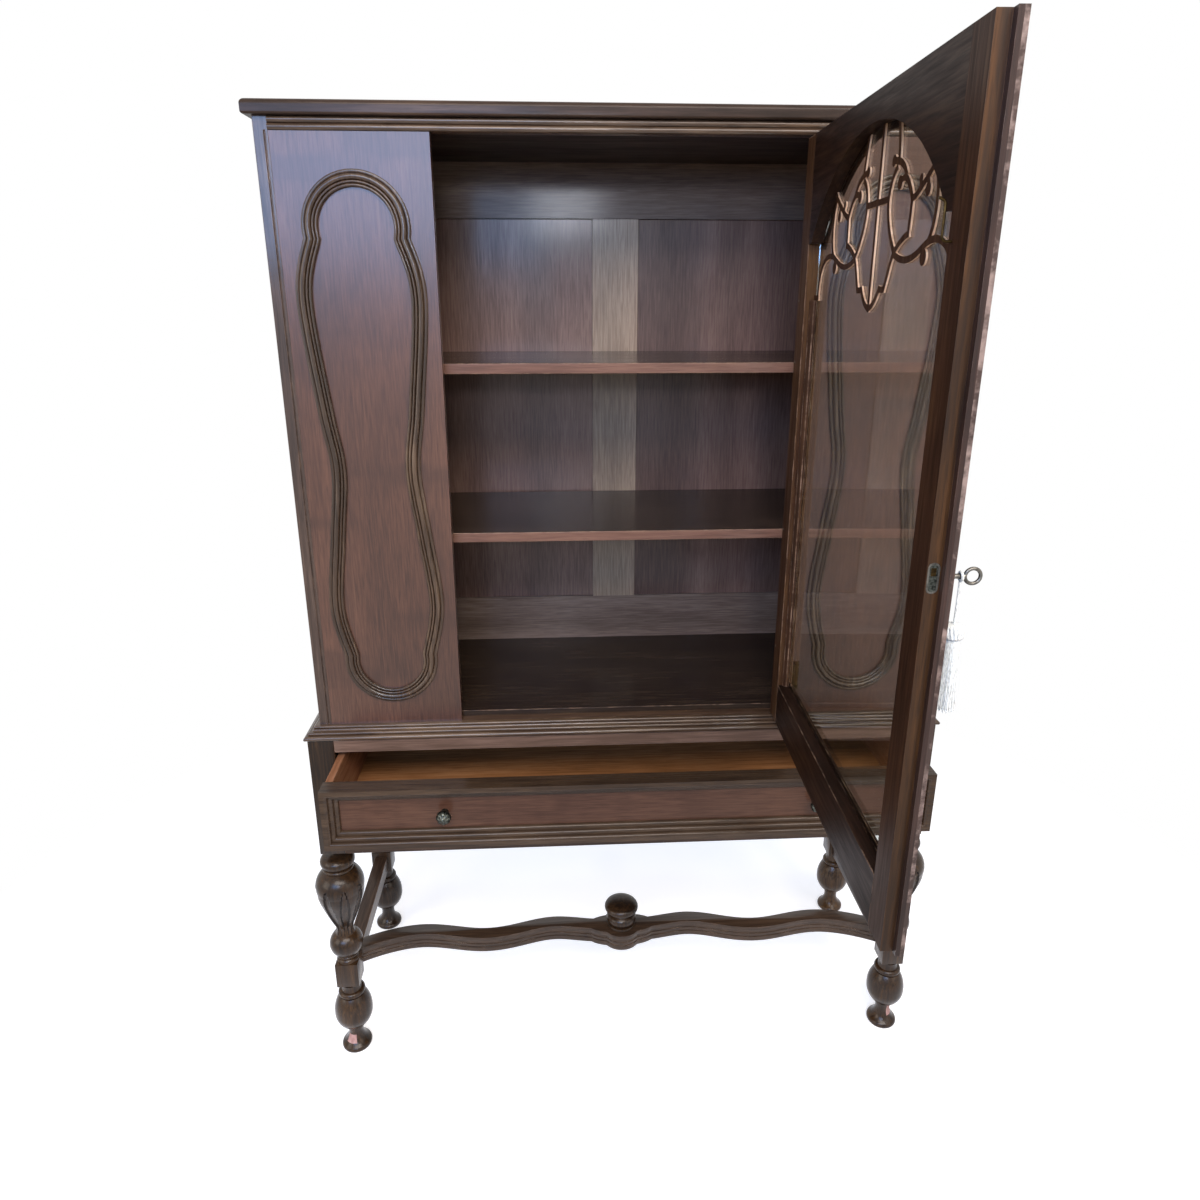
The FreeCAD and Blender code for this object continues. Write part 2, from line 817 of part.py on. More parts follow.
def block_low_level():
    """Height of the underside of the legs' stretcher blocks."""
    total = cell("foot_tall") + cell("ankle_tall") + cell("ball_tall")
    return total + cell("collar_tall")


def legs():
    places = {
        "leg_front_left": (-1, -1),
        "leg_front_right": (1, -1),
        "leg_back_left": (-1, 1),
        "leg_back_right": (1, 1),
    }
    for name, (across, along) in places.items():
        body = turned(name, leg_outline())
        square_pad(body, name + "_block", cell("block_side"), block_low_level(), cell("block_tall"))
        square_pad(body, name + "_head", cell("leg_square"), z_under, cell("lower_height"))
        body.setExpression("Placement.Base.x", (leg_x * across).text)
        body.setExpression("Placement.Base.y", (leg_y * along).text)
        keep(body, name)


# Stretchers: two straight sides, a serpentine cross piece and its finial

def stretchers():
    high = block_low_level() + cell("block_tall") - cell("stretcher_below_block_top")
    low = high - cell("stretcher_tall")
    wide = cell("stretcher_wide") / 2
    y_end = leg_y - cell("block_side") / 2
    for name, sign in (("left", -1), ("right", 1)):
        near, far = ordered((leg_x - wide) * sign, (leg_x + wide) * sign)
        keep(box(near, far, -y_end, y_end, low, high), "side_stretcher_%s" % name)
    inner = float(leg_x - wide)
    tall = float(cell("stretcher_tall"))
    groove = float(cell("cross_groove"))
    y_line = float(y_low_front + cell("cross_from_front"))
    width = float(cell("cross_wide"))

    # plan of the right half, from the plate to past the side stretcher, as shares of the half length
    waves = (
        (0, 0), (0.1, 1), (0.267, 11.6), (0.433, -7), (0.539, -13),
        (0.649, -4.5), (0.77, 4), (0.9, -7), (1.02, -33),
    )
    points = [Vector(share * inner, off, 0) for share, off in waves]
    path = [Vector(-spot.x, spot.y, 0) for spot in reversed(points[1:])] + points

    # the moulded edge in steps up its height: start, end, and how many grooves deep each one lies
    steps = ((0, 0.28, 0), (0.28, 0.38, 1), (0.38, 0.52, 0.3), (0.52, 0.76, 1.3), (0.76, 1, 0))
    plate = float(cell("plate_radius"))
    swell = float(cell("plate_swell"))
    solids = []
    for start, end, share in steps:
        inset = groove * share
        depth = tall * (end - start)
        lift = Vector(0, 0, tall * start)
        band = ribbon(path, width - 2 * inset, depth)
        band.translate(lift)
        disc = Part.makeCylinder(plate - inset, depth, lift)
        oval = Part.Ellipse(lift, swell - inset, plate * 0.7 - inset).toShape()
        shoulders = Part.Face(Part.Wire([oval])).extrude(Vector(0, 0, depth))
        solids.append(band.fuse([disc, shoulders]))
    whole = solids[0].fuse(solids[1:]).removeSplitter()
    depth = float(cell("lower_depth"))
    room = Part.makeBox(2 * inner, depth, tall, Vector(-inner, -depth / 2, 0))
    item = feature(whole.common(room))
    item.Placement = Placement(Vector(0, y_line, float(low)), Rotation())
    keep(item, "cross_stretcher")

    cap = float(cell("finial_radius"))
    rise = float(cell("finial_tall"))
    base = Vector(cap * 0.9, 0, 0)
    base_high = Vector(cap * 0.9, rise * 0.14, 0)
    waist_low = Vector(cap * 0.82, rise * 0.14, 0)
    neck = Vector(cap * 0.68, rise * 0.36, 0)
    widest = Vector(cap, rise * 0.66, 0)
    crown = Vector(cap * 0.3, rise, 0)
    spots = [
        Part.LineSegment(Vector(0, 0, 0), base),
        Part.Arc(base, Vector(cap * 0.97, rise * 0.07, 0), base_high),
        Part.LineSegment(base_high, waist_low),
        Part.Arc(waist_low, Vector(cap * 0.7, rise * 0.23, 0), neck),
        Part.Arc(neck, Vector(cap * 0.93, rise * 0.48, 0), widest),
        Part.Arc(widest, Vector(cap * 0.78, rise * 0.91, 0), crown),
        Part.LineSegment(crown, Vector(0, rise, 0)),
        Part.LineSegment(Vector(0, rise, 0), Vector(0, 0, 0)),
    ]
    body = turned("finial", spots)
    body.setExpression("Placement.Base.y", (y_low_front + cell("cross_from_front")).text)
    body.setExpression("Placement.Base.z", high.text)
    keep(body, "finial")


# Drawer: a front with a reeded recess, two sides, back, bottom and two knobs

def drawer():
    half = head_in - cell("drawer_gap_side")
    low = z_drawer_low + cell("drawer_gap_low")
    high = z_drawer_high - cell("drawer_gap_top")
    y_face = y_low_front - cell("drawer_pull")
    y_inside = y_face + cell("drawer_front_thick")
    y_recess = y_face + cell("drawer_mould_deep")
    stock = box(-half, half, y_recess, y_inside, low, high)
    frame = drawer_moulding(float(half), float(low), float(high), float(y_face), float(y_recess))
    keep(fuse(stock, feature(frame)), "drawer_front")

    wall = cell("drawer_wall")
    y_end = y_inside + cell("drawer_deep")
    side_high = high - cell("drawer_side_drop")
    run_low = z_drawer_low + cell("drawer_run_gap")
    bottom_low = run_low + cell("drawer_bottom_up")
    bottom_high = bottom_low + cell("drawer_bottom_thick")
    groove = cell("drawer_groove")
    inner = half - wall
    for name, sign in (("left", -1), ("right", 1)):
        side = box(*ordered(inner * sign, half * sign), y_inside, y_end, run_low, side_high)
        slot = box(
            *ordered((inner - PAST) * sign, (inner + groove) * sign), y_inside, y_end, bottom_low, bottom_high
        )
        keep(cut(side, slot), "drawer_side_%s" % name)
    keep(box(-inner, inner, y_end - wall, y_end, bottom_high, side_high), "drawer_back")
    keep(box(-(inner + groove), inner + groove, y_inside, y_end, bottom_low, bottom_high), "drawer_bottom")

    reach = float(cell("knob_reach"))
    radius = float(cell("knob_radius"))
    rose = Vector(radius * 0.8, 0, 0)
    rose_face = Vector(radius * 0.8, reach * 0.1, 0)
    stem = Vector(radius * 0.45, reach * 0.4, 0)
    widest = Vector(radius, reach * 0.7, 0)
    crown = Vector(radius * 0.3, reach, 0)
    for name, sign in (("left", -1), ("right", 1)):
        outline = [
            Part.LineSegment(Vector(0, 0, 0), rose),
            Part.LineSegment(rose, rose_face),
            Part.LineSegment(rose_face, stem),
            Part.Arc(stem, Vector(radius * 0.9, reach * 0.54, 0), widest),
            Part.Arc(widest, Vector(radius * 0.74, reach * 0.92, 0), crown),
            Part.LineSegment(crown, Vector(0, reach, 0)),
            Part.LineSegment(Vector(0, reach, 0), Vector(0, 0, 0)),
        ]
        body = turned("knob_%s" % name, outline)
        body.Placement.Rotation = Rotation(Vector(1, 0, 0), 90)
        body.setExpression("Placement.Base.x", (cell("knob_place") * sign).text)
        body.setExpression("Placement.Base.y", y_recess.text)
        body.setExpression("Placement.Base.z", ((low + high) / 2).text)
        keep(body, "knob_%s" % name)


def drawer_moulding(half, low, high, y_face, y_recess):
    """Four mitred runs of reeded moulding that slope from the front's edge back to the recess."""
    wide = float(cell("drawer_mould_wide"))
    deep = y_recess - y_face
    rim = wide * 0.2

    # section: in from the edge along X, back from the face along Y
    corner = Vector(0, 0, 0)
    crest = Vector(rim, 0, 0)
    hollow = Vector(wide, deep, 0)
    seat = Vector(0, deep, 0)
    edges = [Part.makeLine(seat, corner), Part.makeLine(corner, crest), Part.makeLine(hollow, seat)]
    edges += reeds(crest, hollow, 3, float(cell("drawer_reed")))
    section = Part.Face(Part.Wire(Part.__sortEdges__(edges)))

    width = 2 * half
    height = high - low
    runs = []
    for length, spin, corner in (
        (width, 0, Vector(-half, y_face, low)),
        (height, 90, Vector(half, y_face, low)),
        (width, 180, Vector(half, y_face, high)),
        (height, 270, Vector(-half, y_face, high)),
    ):
        # lay the run along X with its outer edge down, then mitre both ends
        solid = section.extrude(Vector(0, 0, length))
        solid.rotate(Vector(0, 0, 0), Vector(0, 1, 0), -90)
        solid.translate(Vector(length, 0, 0))
        trim = [
            Vector(0, -deep, 0),
            Vector(length, -deep, 0),
            Vector(length - wide, -deep, wide),
            Vector(wide, -deep, wide),
        ]
        solid = solid.common(prism(trim, Vector(0, 3 * deep, 0)))
        solid.rotate(Vector(0, 0, 0), Vector(0, 1, 0), -spin)
        solid.translate(corner)
        runs.append(solid)
    return runs[0].fuse(runs[1:]).removeSplitter()


# Door, drawn closed and then turned open about its hinge line

door_turn = Placement(
    Vector(0, 0, 0), Rotation(Vector(0, 0, 1), float(cell("door_open_angle"))), Vector(float(pivot_x), float(pivot_y), 0)
)


def on_door(item, label):
    """Swing a piece drawn on the closed door to where the door stands."""
    item.Placement = door_turn.multiply(item.Placement)
    return keep(item, label)


def lock_y():
    """Middle of the lock in the door's thickness."""
    return y_front + cell("door_inset") / 2


def bolt_span():
    """Underside and top of the lock's bolt."""
    low = cell("lock_height") + cell("bolt_above_lock")
    return low, low + cell("bolt_tall")


def lock_room():
    """The lock's mortise in the stile's edge, from the closed door's edge inwards."""
    half_tall = cell("lock_tall") / 2
    half_thick = cell("lock_wide") / 2
    return box(
        -door_half, -door_half + cell("lock_deep"),
        lock_y() - half_thick, lock_y() + half_thick,
        cell("lock_height") - half_tall, cell("lock_height") + half_tall,
    )


def key_axis():
    """Where the key's axis crosses the door's front face, closed."""
    return -door_half + cell("key_in"), cell("lock_height") - cell("key_below_lock")


def door_frame():
    stop_in = sight_half - cell("glass_stop")
    lip_back = y_front - cell("lip_clear")
    # hinge stile
    main = box(sight_half, door_half, y_door_front, y_door_in, door_low, door_high)
    stop = box(stop_in, sight_half, y_door_front, y_stop, door_low, door_high)
    on_door(fuse(main, stop), "door_stile_hinge")
    # free stile, with the lip that laps the case and the lock's mortise
    main = box(-door_half, -sight_half, y_door_front, y_door_in, door_low, door_high)
    stop = box(-sight_half, -stop_in, y_door_front, y_stop, door_low, door_high)
    lip = box(-door_half - cell("door_lip"), -door_half, y_door_front, lip_back, door_low, door_high)
    key_x, key_z = key_axis()
    keyhole = rod(
        key_x, y_door_front - PAST, key_z, cell("key_radius") + cell("key_clear"),
        lock_y() - y_door_front + PAST, "Y",
    )
    on_door(cut(fuse(main, stop, lip), lock_room(), keyhole), "door_stile_free")
    # bottom rail
    main = box(-sight_half, sight_half, y_stop, y_door_in, door_low, z_sight_low)
    front = box(-stop_in, stop_in, y_door_front, y_stop, door_low, z_sight_low + cell("glass_stop"))
    on_door(fuse(main, front), "door_rail_low")
    # arched top rail
    main = box(-sight_half, sight_half, y_stop, y_door_in, z_shoulder, door_high)
    arch = rod(0, y_stop - PAST, z_arch_centre, arch_radius, y_door_in - y_stop + 2 * PAST, "Y")
    front = box(-stop_in, stop_in, y_door_front, y_stop, z_shoulder - cell("glass_stop"), door_high)
    stop_thick = cell("glass_stop_thick") + 2 * PAST
    small = rod(0, y_door_front - PAST, z_arch_centre, arch_radius - cell("glass_stop"), stop_thick, "Y")
    low_front = box(
        -stop_in, stop_in, y_door_front, y_stop, z_shoulder - cell("glass_stop") * 3, z_shoulder - cell("glass_stop")
    )
    on_door(fuse(cut(main, arch), cut(front, small, low_front)), "door_rail_arch")


def sight_outline(side_clear, arch_clear):
    """The sight opening between the stiles and under the arch, drawn in by clearances, as a face."""
    half = float(sight_half) - side_clear
    flat = float(arch_half) - arch_clear
    low = float(z_sight_low) + side_clear
    shoulder = float(z_shoulder) - arch_clear
    apex = float(z_apex) - arch_clear
    corner = [
        Vector(-flat, 0, shoulder),
        Vector(-half, 0, shoulder),
        Vector(-half, 0, low),
        Vector(half, 0, low),
        Vector(half, 0, shoulder),
        Vector(flat, 0, shoulder),
    ]
    edges = [Part.makeLine(corner[index], corner[index + 1]) for index in range(5)]
    edges.append(Part.Arc(corner[5], Vector(0, 0, apex), corner[0]).toShape())
    return Part.Face(Part.Wire(edges))


# Fretwork in the arch: strands and scroll heads of one thin board, the same on both sides,
# in millimetres across from the middle and down from the arch's top

FRET_HALF = 238
FRET_DROP = 197
FRET_FOOT = 181
FRET_STRANDS = {
    "top_lens": ((43, -8), (53, 22), (57, 44)),
    "upper_scroll": ((42, 43), (56, 45), (70, 50), (83, 62)),
    "middle_scroll": ((67, 67), (82, 64), (94, 72), (105, 86)),
    "oval": ((56, 50), (42, 62), (36, 81), (41, 102), (54, 122), (67, 135)),
    "tie": ((0, 80), (18, 80), (37, 80)),
    "pocket": ((105, 84), (104.5, 100), (103, 116)),
    "pocket_floor": ((106, 119), (92, 122), (78, 128), (65, 136)),
    "branch": ((103, 86), (117, 83), (132, 75), (148, 66), (166, 52)),
    "crescent": ((157, 56), (167, 76), (169.5, 98), (166, 116), (156, 131)),
    "sill": ((64, 136), (84, 142), (106, 144), (132, 139), (158, 130), (182, 129), (204, 138), (217, 158), (219, 184)),
    "foot": ((215, FRET_FOOT), (226, FRET_FOOT), (242, FRET_FOOT)),
    "pendant": ((66, 136), (57, 150), (50, 164), (45, 173)),
    "step": ((48, 172), (38, 172.5), (28, 171)),
    "tip": ((31, 171), (22, 182), (10, 190), (-2, 193)),
    "branch_curl": ((139, 71), (144, 76), (144, 84)),
    "branch_spur": ((126, 80), (125, 75), (124, 69)),
}
FRET_HEADS = ((42, 43, 6), (66, 67, 7), (144, 82, 6.5), (149, 143.5, 8), (124, 70, 4.5))


def glass_and_beads():
    clear = float(cell("glass_clear"))
    pane = sight_outline(clear, clear).extrude(Vector(0, float(cell("glass_thick")), 0))
    item = feature(pane)
    item.Placement.Base = Vector(0, float(y_stop), 0)
    on_door(item, "glass_pane")
    bead = cell("bead_side")
    y_in = y_glass_in + cell("bead_deep")
    high = z_apex - cell("fret_drop") * FRET_FOOT / FRET_DROP - cell("fret_strand") / 2
    for name, sign in (("hinge", 1), ("free", -1)):
        near, far = ordered((sight_half - bead) * sign, sight_half * sign)
        stock = box(near, far, y_glass_in, y_in, z_sight_low, high)
        skew_near = float(sight_half - bead) * sign
        skew_far = float(sight_half) * sign
        under = float(z_sight_low) - PAST
        wedge = prism(
            [
                Vector(skew_near, float(y_in) - float(bead) * 0.6, under),
                Vector(skew_near, float(y_in) + PAST, under),
                Vector(skew_far, float(y_in) + PAST, under),
                Vector(skew_near + (skew_far - skew_near) * 0.6, float(y_in), under),
            ],
            Vector(0, 0, float(high - z_sight_low) + 2 * PAST),
        )
        on_door(cut(stock, feature(wedge)), "glass_bead_%s" % name)


def fretwork():
    across = float(sight_half) / FRET_HALF
    down = float(cell("fret_drop")) / FRET_DROP
    thick = float(cell("fret_thick"))
    width = float(cell("fret_strand"))
    right = []
    for points in FRET_STRANDS.values():
        path = [Vector(u * across, -v * down, 0) for u, v in points]
        right.append(ribbon(path, width, thick))
    for u, v, radius in FRET_HEADS:
        right.append(Part.makeCylinder(radius, thick, Vector(u * across, -v * down, 0)))
    drop = float(cell("fret_drop"))
    middle = Part.makeBox(width, drop + width, thick, Vector(-width / 2, -drop, 0))
    half = right[0].fuse(right[1:])
    whole = half.fuse([mirrored(half, Vector(1, 0, 0)), middle]).removeSplitter()
    whole.rotate(Vector(0, 0, 0), Vector(1, 0, 0), 90)
    whole.translate(Vector(0, float(y_door_in) - float(cell("fret_set_back")), float(z_apex)))
    room = sight_outline(0, float(cell("fret_clear"))).extrude(Vector(0, float(y_door_in - y_door_front), 0))
    room.translate(Vector(0, float(y_door_front), 0))
    on_door(feature(whole.common(room)), "fretwork")


# Hinges: cranked leaves on the case with fixed pins, and flat leaves on the door's face

def hinges():
    tall = cell("hinge_tall")
    third = tall / 3
    plate = cell("hinge_plate")
    barrel = cell("barrel_radius")
    gap = cell("knuckle_gap")
    relief = cell("tongue_relief")
    clear_x = barrel + cell("barrel_clear")
    places = {
        "low": door_low + cell("hinge_from_end"),
        "high": door_high - cell("hinge_from_end") - tall,
    }
    for name, low in places.items():
        high = low + tall
        mid_low = low + third
        mid_high = high - third
        # leaf on the case: flange on the fixed panel, web forward, arm to the barrel
        web = half_open + plate * 2
        flange = box(web, half_open + cell("violin_side_gap") - plate, y_front - plate, y_front, low, high)
        step = box(web, web + plate, pivot_y - plate / 2, y_front, low, high)
        arm = box(pivot_x + clear_x, web + plate, pivot_y - plate / 2, pivot_y + plate / 2, low, high)
        tongues = []
        for start, end in ((low, mid_low), (mid_high, high)):
            tongues.append(box(pivot_x, pivot_x + clear_x, pivot_y - plate / 2, pivot_y + plate / 2, start, end))
            tongues.append(rod(pivot_x, pivot_y, start, barrel, end - start, "Z"))
        pin = rod(pivot_x, pivot_y, low, cell("pin_radius"), tall, "Z")
        keep(fuse(flange, step, arm, pin, *tongues), "hinge_case_%s" % name)
        # leaf on the door's front face
        leaf = box(
            pivot_x - clear_x - cell("hinge_leaf"), pivot_x - clear_x, y_door_front - plate, y_door_front, low, high
        )
        tongue = box(
            pivot_x - clear_x, pivot_x, y_door_front - plate, y_door_front - relief, mid_low + gap, mid_high - gap
        )
        knuckle = rod(pivot_x, pivot_y, mid_low + gap, barrel, mid_high - mid_low - gap * 2, "Z")
        bore = rod(pivot_x, pivot_y, mid_low, cell("pin_radius") + cell("pin_clear"), mid_high - mid_low, "Z")
        on_door(cut(fuse(leaf, tongue, knuckle), bore), "hinge_door_%s" % name)


# Lock, bolt, key and tassel

def lock():
    low, high = bolt_span()
    clear = cell("bolt_clear")
    room = box(
        -door_half - PAST, -door_half + cell("bolt_long") + PAST,
        lock_y() - cell("bolt_thick") / 2 - clear, lock_y() + cell("bolt_thick") / 2 + clear,
        low - clear, high + clear,
    )
    key_x, key_z = key_axis()
    keyway = rod(
        key_x, lock_y() - cell("lock_wide"), key_z, cell("key_radius") + cell("key_clear"),
        cell("lock_wide") * 1.2, "Y",
    )
    on_door(cut(lock_room(), room, keyway), "lock_case")
    stock = box(
        -door_half, -door_half + cell("bolt_long"),
        lock_y() - cell("bolt_thick") / 2, lock_y() + cell("bolt_thick") / 2, low, high,
    )
    nick = box(
        -door_half + cell("bolt_long") * 0.5, -door_half + cell("bolt_long") * 0.75,
        lock_y() - cell("bolt_thick"), lock_y() + cell("bolt_thick"), low - PAST, low + cell("bolt_tall") / 4,
    )
    on_door(cut(stock, nick), "lock_bolt")


def key():
    key_x, key_z = key_axis()
    inside = lock_y() - y_door_front
    shank = rod(key_x, y_door_front - cell("key_out"), key_z, cell("key_radius"), inside + cell("key_out"), "Y")
    bow = doc.addObject("Part::Torus", "bow_stock")
    bow.setExpression("Radius1", cell("bow_radius").text)
    bow.setExpression("Radius2", cell("bow_wire").text)
    bow.Placement.Rotation = Rotation(Vector(0, 1, 0), 90)
    bow.setExpression("Placement.Base.x", key_x.text)
    bow.setExpression("Placement.Base.y", (y_door_front - cell("key_out") - cell("bow_radius")).text)
    bow.setExpression("Placement.Base.z", key_z.text)
    on_door(fuse(shank, bow), "key")


def tassel():
    key_x, key_z = key_axis()
    y_hang = y_door_front - cell("tassel_out")
    loop = cell("key_radius") + cell("loop_clear") + cell("cord_radius")
    ring = doc.addObject("Part::Torus", "loop_stock")
    ring.setExpression("Radius1", loop.text)
    ring.setExpression("Radius2", cell("cord_radius").text)
    ring.Placement.Rotation = Rotation(Vector(1, 0, 0), 90)
    for axis, place in (("x", key_x), ("y", y_hang), ("z", key_z)):
        ring.setExpression("Placement.Base.%s" % axis, place.text)
    head_high = key_z - cell("cord_drop")
    drop = rod(key_x, y_hang, head_high, cell("cord_radius"), cell("cord_drop") - loop, "Z")
    on_door(fuse(ring, drop), "tassel_cord")
    head = float(cell("tassel_head_radius"))
    head_tall = float(cell("tassel_head_tall"))
    skirt = float(cell("tassel_skirt_radius"))
    skirt_tall = float(cell("tassel_skirt_tall"))
    cord = float(cell("cord_radius"))
    waist_in = head * 0.72
    total = -head_tall - skirt_tall
    outline = [
        Part.LineSegment(Vector(0, 0, 0), Vector(cord * 1.5, 0, 0)),
        Part.Arc(
            Vector(cord * 1.5, 0, 0), Vector(head, -head_tall * 0.55, 0), Vector(waist_in, -head_tall, 0)
        ),
        Part.Arc(
            Vector(waist_in, -head_tall, 0),
            Vector(head * 0.95, -head_tall - skirt_tall * 0.2, 0),
            Vector(skirt, total, 0),
        ),
        Part.LineSegment(Vector(skirt, total, 0), Vector(0, total, 0)),
        Part.LineSegment(Vector(0, total, 0), Vector(0, 0, 0)),
    ]
    body = turned("tassel", outline)
    body.Placement = Placement(Vector(float(key_x), float(y_hang), float(head_high)), Rotation())
    on_door(body, "tassel")


top_board()
header()
waist()
posts()
sides()
front_panels()
floor_sill_shelves()
back()
violins()
lower_case()
legs()
stretchers()
drawer()
door_frame()
glass_and_beads()
fretwork()
hinges()
lock()
key()
tassel()
doc.recompute()

for item in doc.Objects:
    if "Invalid" in item.State or "Error" in item.State:
        raise RuntimeError("%s did not recompute" % item.Label)
os.makedirs("parts", exist_ok=True)
for item in parts:
    shape = item.Shape
    if shape.isNull() or not shape.isValid() or not shape.Solids:
        raise RuntimeError("%s has no sound solid" % item.Label)
    shape.exportStep("parts/%s.step" % item.Label)
    print("%-20s solids %d faces %d volume %.0f" % (item.Label, len(shape.Solids), len(shape.Faces), shape.Volume))
print("sub-parts", len(parts))
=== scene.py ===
# Display cupboard on turned legs: wood, glass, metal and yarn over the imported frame, lit for the camera.
# Metres. X is right, Y is back and Z is up, as in the frame.

import json
import math
import random

import bmesh
import bpy
from mathutils import Matrix, Vector
from mathutils.geometry import interpolate_bezier


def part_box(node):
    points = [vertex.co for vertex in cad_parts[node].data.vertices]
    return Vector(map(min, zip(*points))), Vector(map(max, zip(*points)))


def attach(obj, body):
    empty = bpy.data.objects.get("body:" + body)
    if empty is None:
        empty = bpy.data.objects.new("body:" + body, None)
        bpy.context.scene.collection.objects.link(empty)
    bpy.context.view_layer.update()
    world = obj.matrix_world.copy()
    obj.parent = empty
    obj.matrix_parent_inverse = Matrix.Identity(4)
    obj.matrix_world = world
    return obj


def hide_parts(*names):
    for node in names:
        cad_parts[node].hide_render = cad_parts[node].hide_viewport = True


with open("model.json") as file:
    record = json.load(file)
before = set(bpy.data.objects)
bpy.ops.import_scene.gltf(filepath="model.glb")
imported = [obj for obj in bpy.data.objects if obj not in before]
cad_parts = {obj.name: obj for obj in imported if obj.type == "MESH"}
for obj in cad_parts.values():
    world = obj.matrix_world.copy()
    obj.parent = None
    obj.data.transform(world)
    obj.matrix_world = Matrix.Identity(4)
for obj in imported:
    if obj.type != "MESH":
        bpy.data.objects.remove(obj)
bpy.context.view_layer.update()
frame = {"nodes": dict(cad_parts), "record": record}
MM = 0.001
UP = Vector((0, 0, 1))
BODY_OF = {
    node: body for body, nodes in frame["record"]["behaviour"]["bodies"].items() for node in nodes
}

# The open door's pivot and its own directions at rest: across from the hinge, and out of its front face
DOOR_PIVOT = (272 * MM, -180.5 * MM)
DOOR_ANGLE = math.radians(88.2)
DOOR_ACROSS = Vector((-math.cos(DOOR_ANGLE), -math.sin(DOOR_ANGLE), 0))
DOOR_OUT = Vector((math.sin(DOOR_ANGLE), -math.cos(DOOR_ANGLE), 0))


# Materials

def linear(code):
    """An sRGB hex colour as linear RGBA."""
    parts = [int(code[start:start + 2], 16) / 255 for start in (1, 3, 5)]
    return tuple(p / 12.92 if p <= 0.04045 else ((p + 0.055) / 1.055) ** 2.4 for p in parts) + (1.0,)


def feed(tree, node, into):
    """Give each named socket of a node its value, or a link from another node's output."""
    for socket, value in into.items():
        if isinstance(value, bpy.types.NodeSocket):
            tree.links.new(value, node.inputs[socket])
        else:
            node.inputs[socket].default_value = value


def add(tree, kind, into=None, stops=None, **settings):
    """Add a shader node: settings are its own properties, stops its ramp's colours, into its sockets."""
    made = tree.nodes.new("ShaderNode" + kind)
    for name, value in settings.items():
        setattr(made, name, value)
    if stops:
        ramp = made.color_ramp
        while len(ramp.elements) < len(stops):
            ramp.elements.new(1.0)
        for element, (place, code) in zip(ramp.elements, stops):
            element.position = place
            element.color = linear(code)
    feed(tree, made, into or {})
    return made


def finish(name):
    """A new material with its node tree and shader."""
    material = bpy.data.materials.new(name)
    material.use_nodes = True
    return material, material.node_tree, material.node_tree.nodes["Principled BSDF"]


def stretched(run, along, across=1.0):
    """Scale that draws a pattern out along the grain or across it."""
    scale = [across] * 3
    scale["xyz".index(run)] = along
    return scale


def figure_bars(tree, place, run, shown, dark, depth):
    """Faint darker bars across the grain, about 70 mm apart, as in figured veneer."""
    bars_at = add(tree, "Mapping", {"Vector": place, "Scale": stretched(run, 1.0, 0.25)})
    bars = add(tree, "TexNoise", {"Vector": bars_at.outputs[0], "Scale": 1 / (70 * MM), "Detail": 2.0})
    mask = add(tree, "MapRange", {
        "Value": bars.outputs["Fac"], "From Min": 0.54, "From Max": 0.66, "To Min": 0.0, "To Max": depth,
    })
    barred = add(tree, "Mix", {0: mask.outputs[0], 6: shown, 7: linear(dark)}, data_type="RGBA")
    return barred.outputs[2]


def glued_staves(tree, place, run, shown, depth):
    """Staves of different tone, about 95 mm wide, glued side by side."""
    staves_at = add(tree, "Mapping", {"Vector": place, "Scale": stretched(run, 0.02)})
    staves = add(tree, "TexNoise", {"Vector": staves_at.outputs[0], "Scale": 1 / (95 * MM), "Detail": 1.0})
    tone = add(tree, "MapRange", {
        "Value": staves.outputs["Fac"], "From Min": 0.38, "From Max": 0.62,
        "To Min": 1 - depth, "To Max": 1 + depth,
    })
    striped = add(tree, "VectorMath", {0: shown, 1: tone.outputs[0]}, operation="MULTIPLY")
    return striped.outputs[0]


def worn_and_highlit_edges(tree, place, shown, bare, wear):
    """Edges rubbed through to another tone, in patches a few centimetres long; on the door's lip the pale tone
    is also a painted highlight.
    """
    patches = add(tree, "TexNoise", {
        "Vector": place, "Scale": 1 / (30 * MM), "Detail": 4.0, "Roughness": 0.7,
    })
    patch = add(tree, "MapRange", {
        "Value": patches.outputs["Fac"], "From Min": 0.46, "From Max": 0.62,
        "To Min": wear * 0.1, "To Max": wear,
    })
    edge = add(tree, "Attribute", attribute_name="wear_and_highlight_edge")
    rub = add(tree, "Math", {0: edge.outputs["Fac"], 1: patch.outputs[0]}, operation="MULTIPLY")
    rubbed = add(tree, "Mix", {0: rub.outputs[0], 6: shown, 7: linear(bare)}, data_type="RGBA")
    return rubbed.outputs[2]


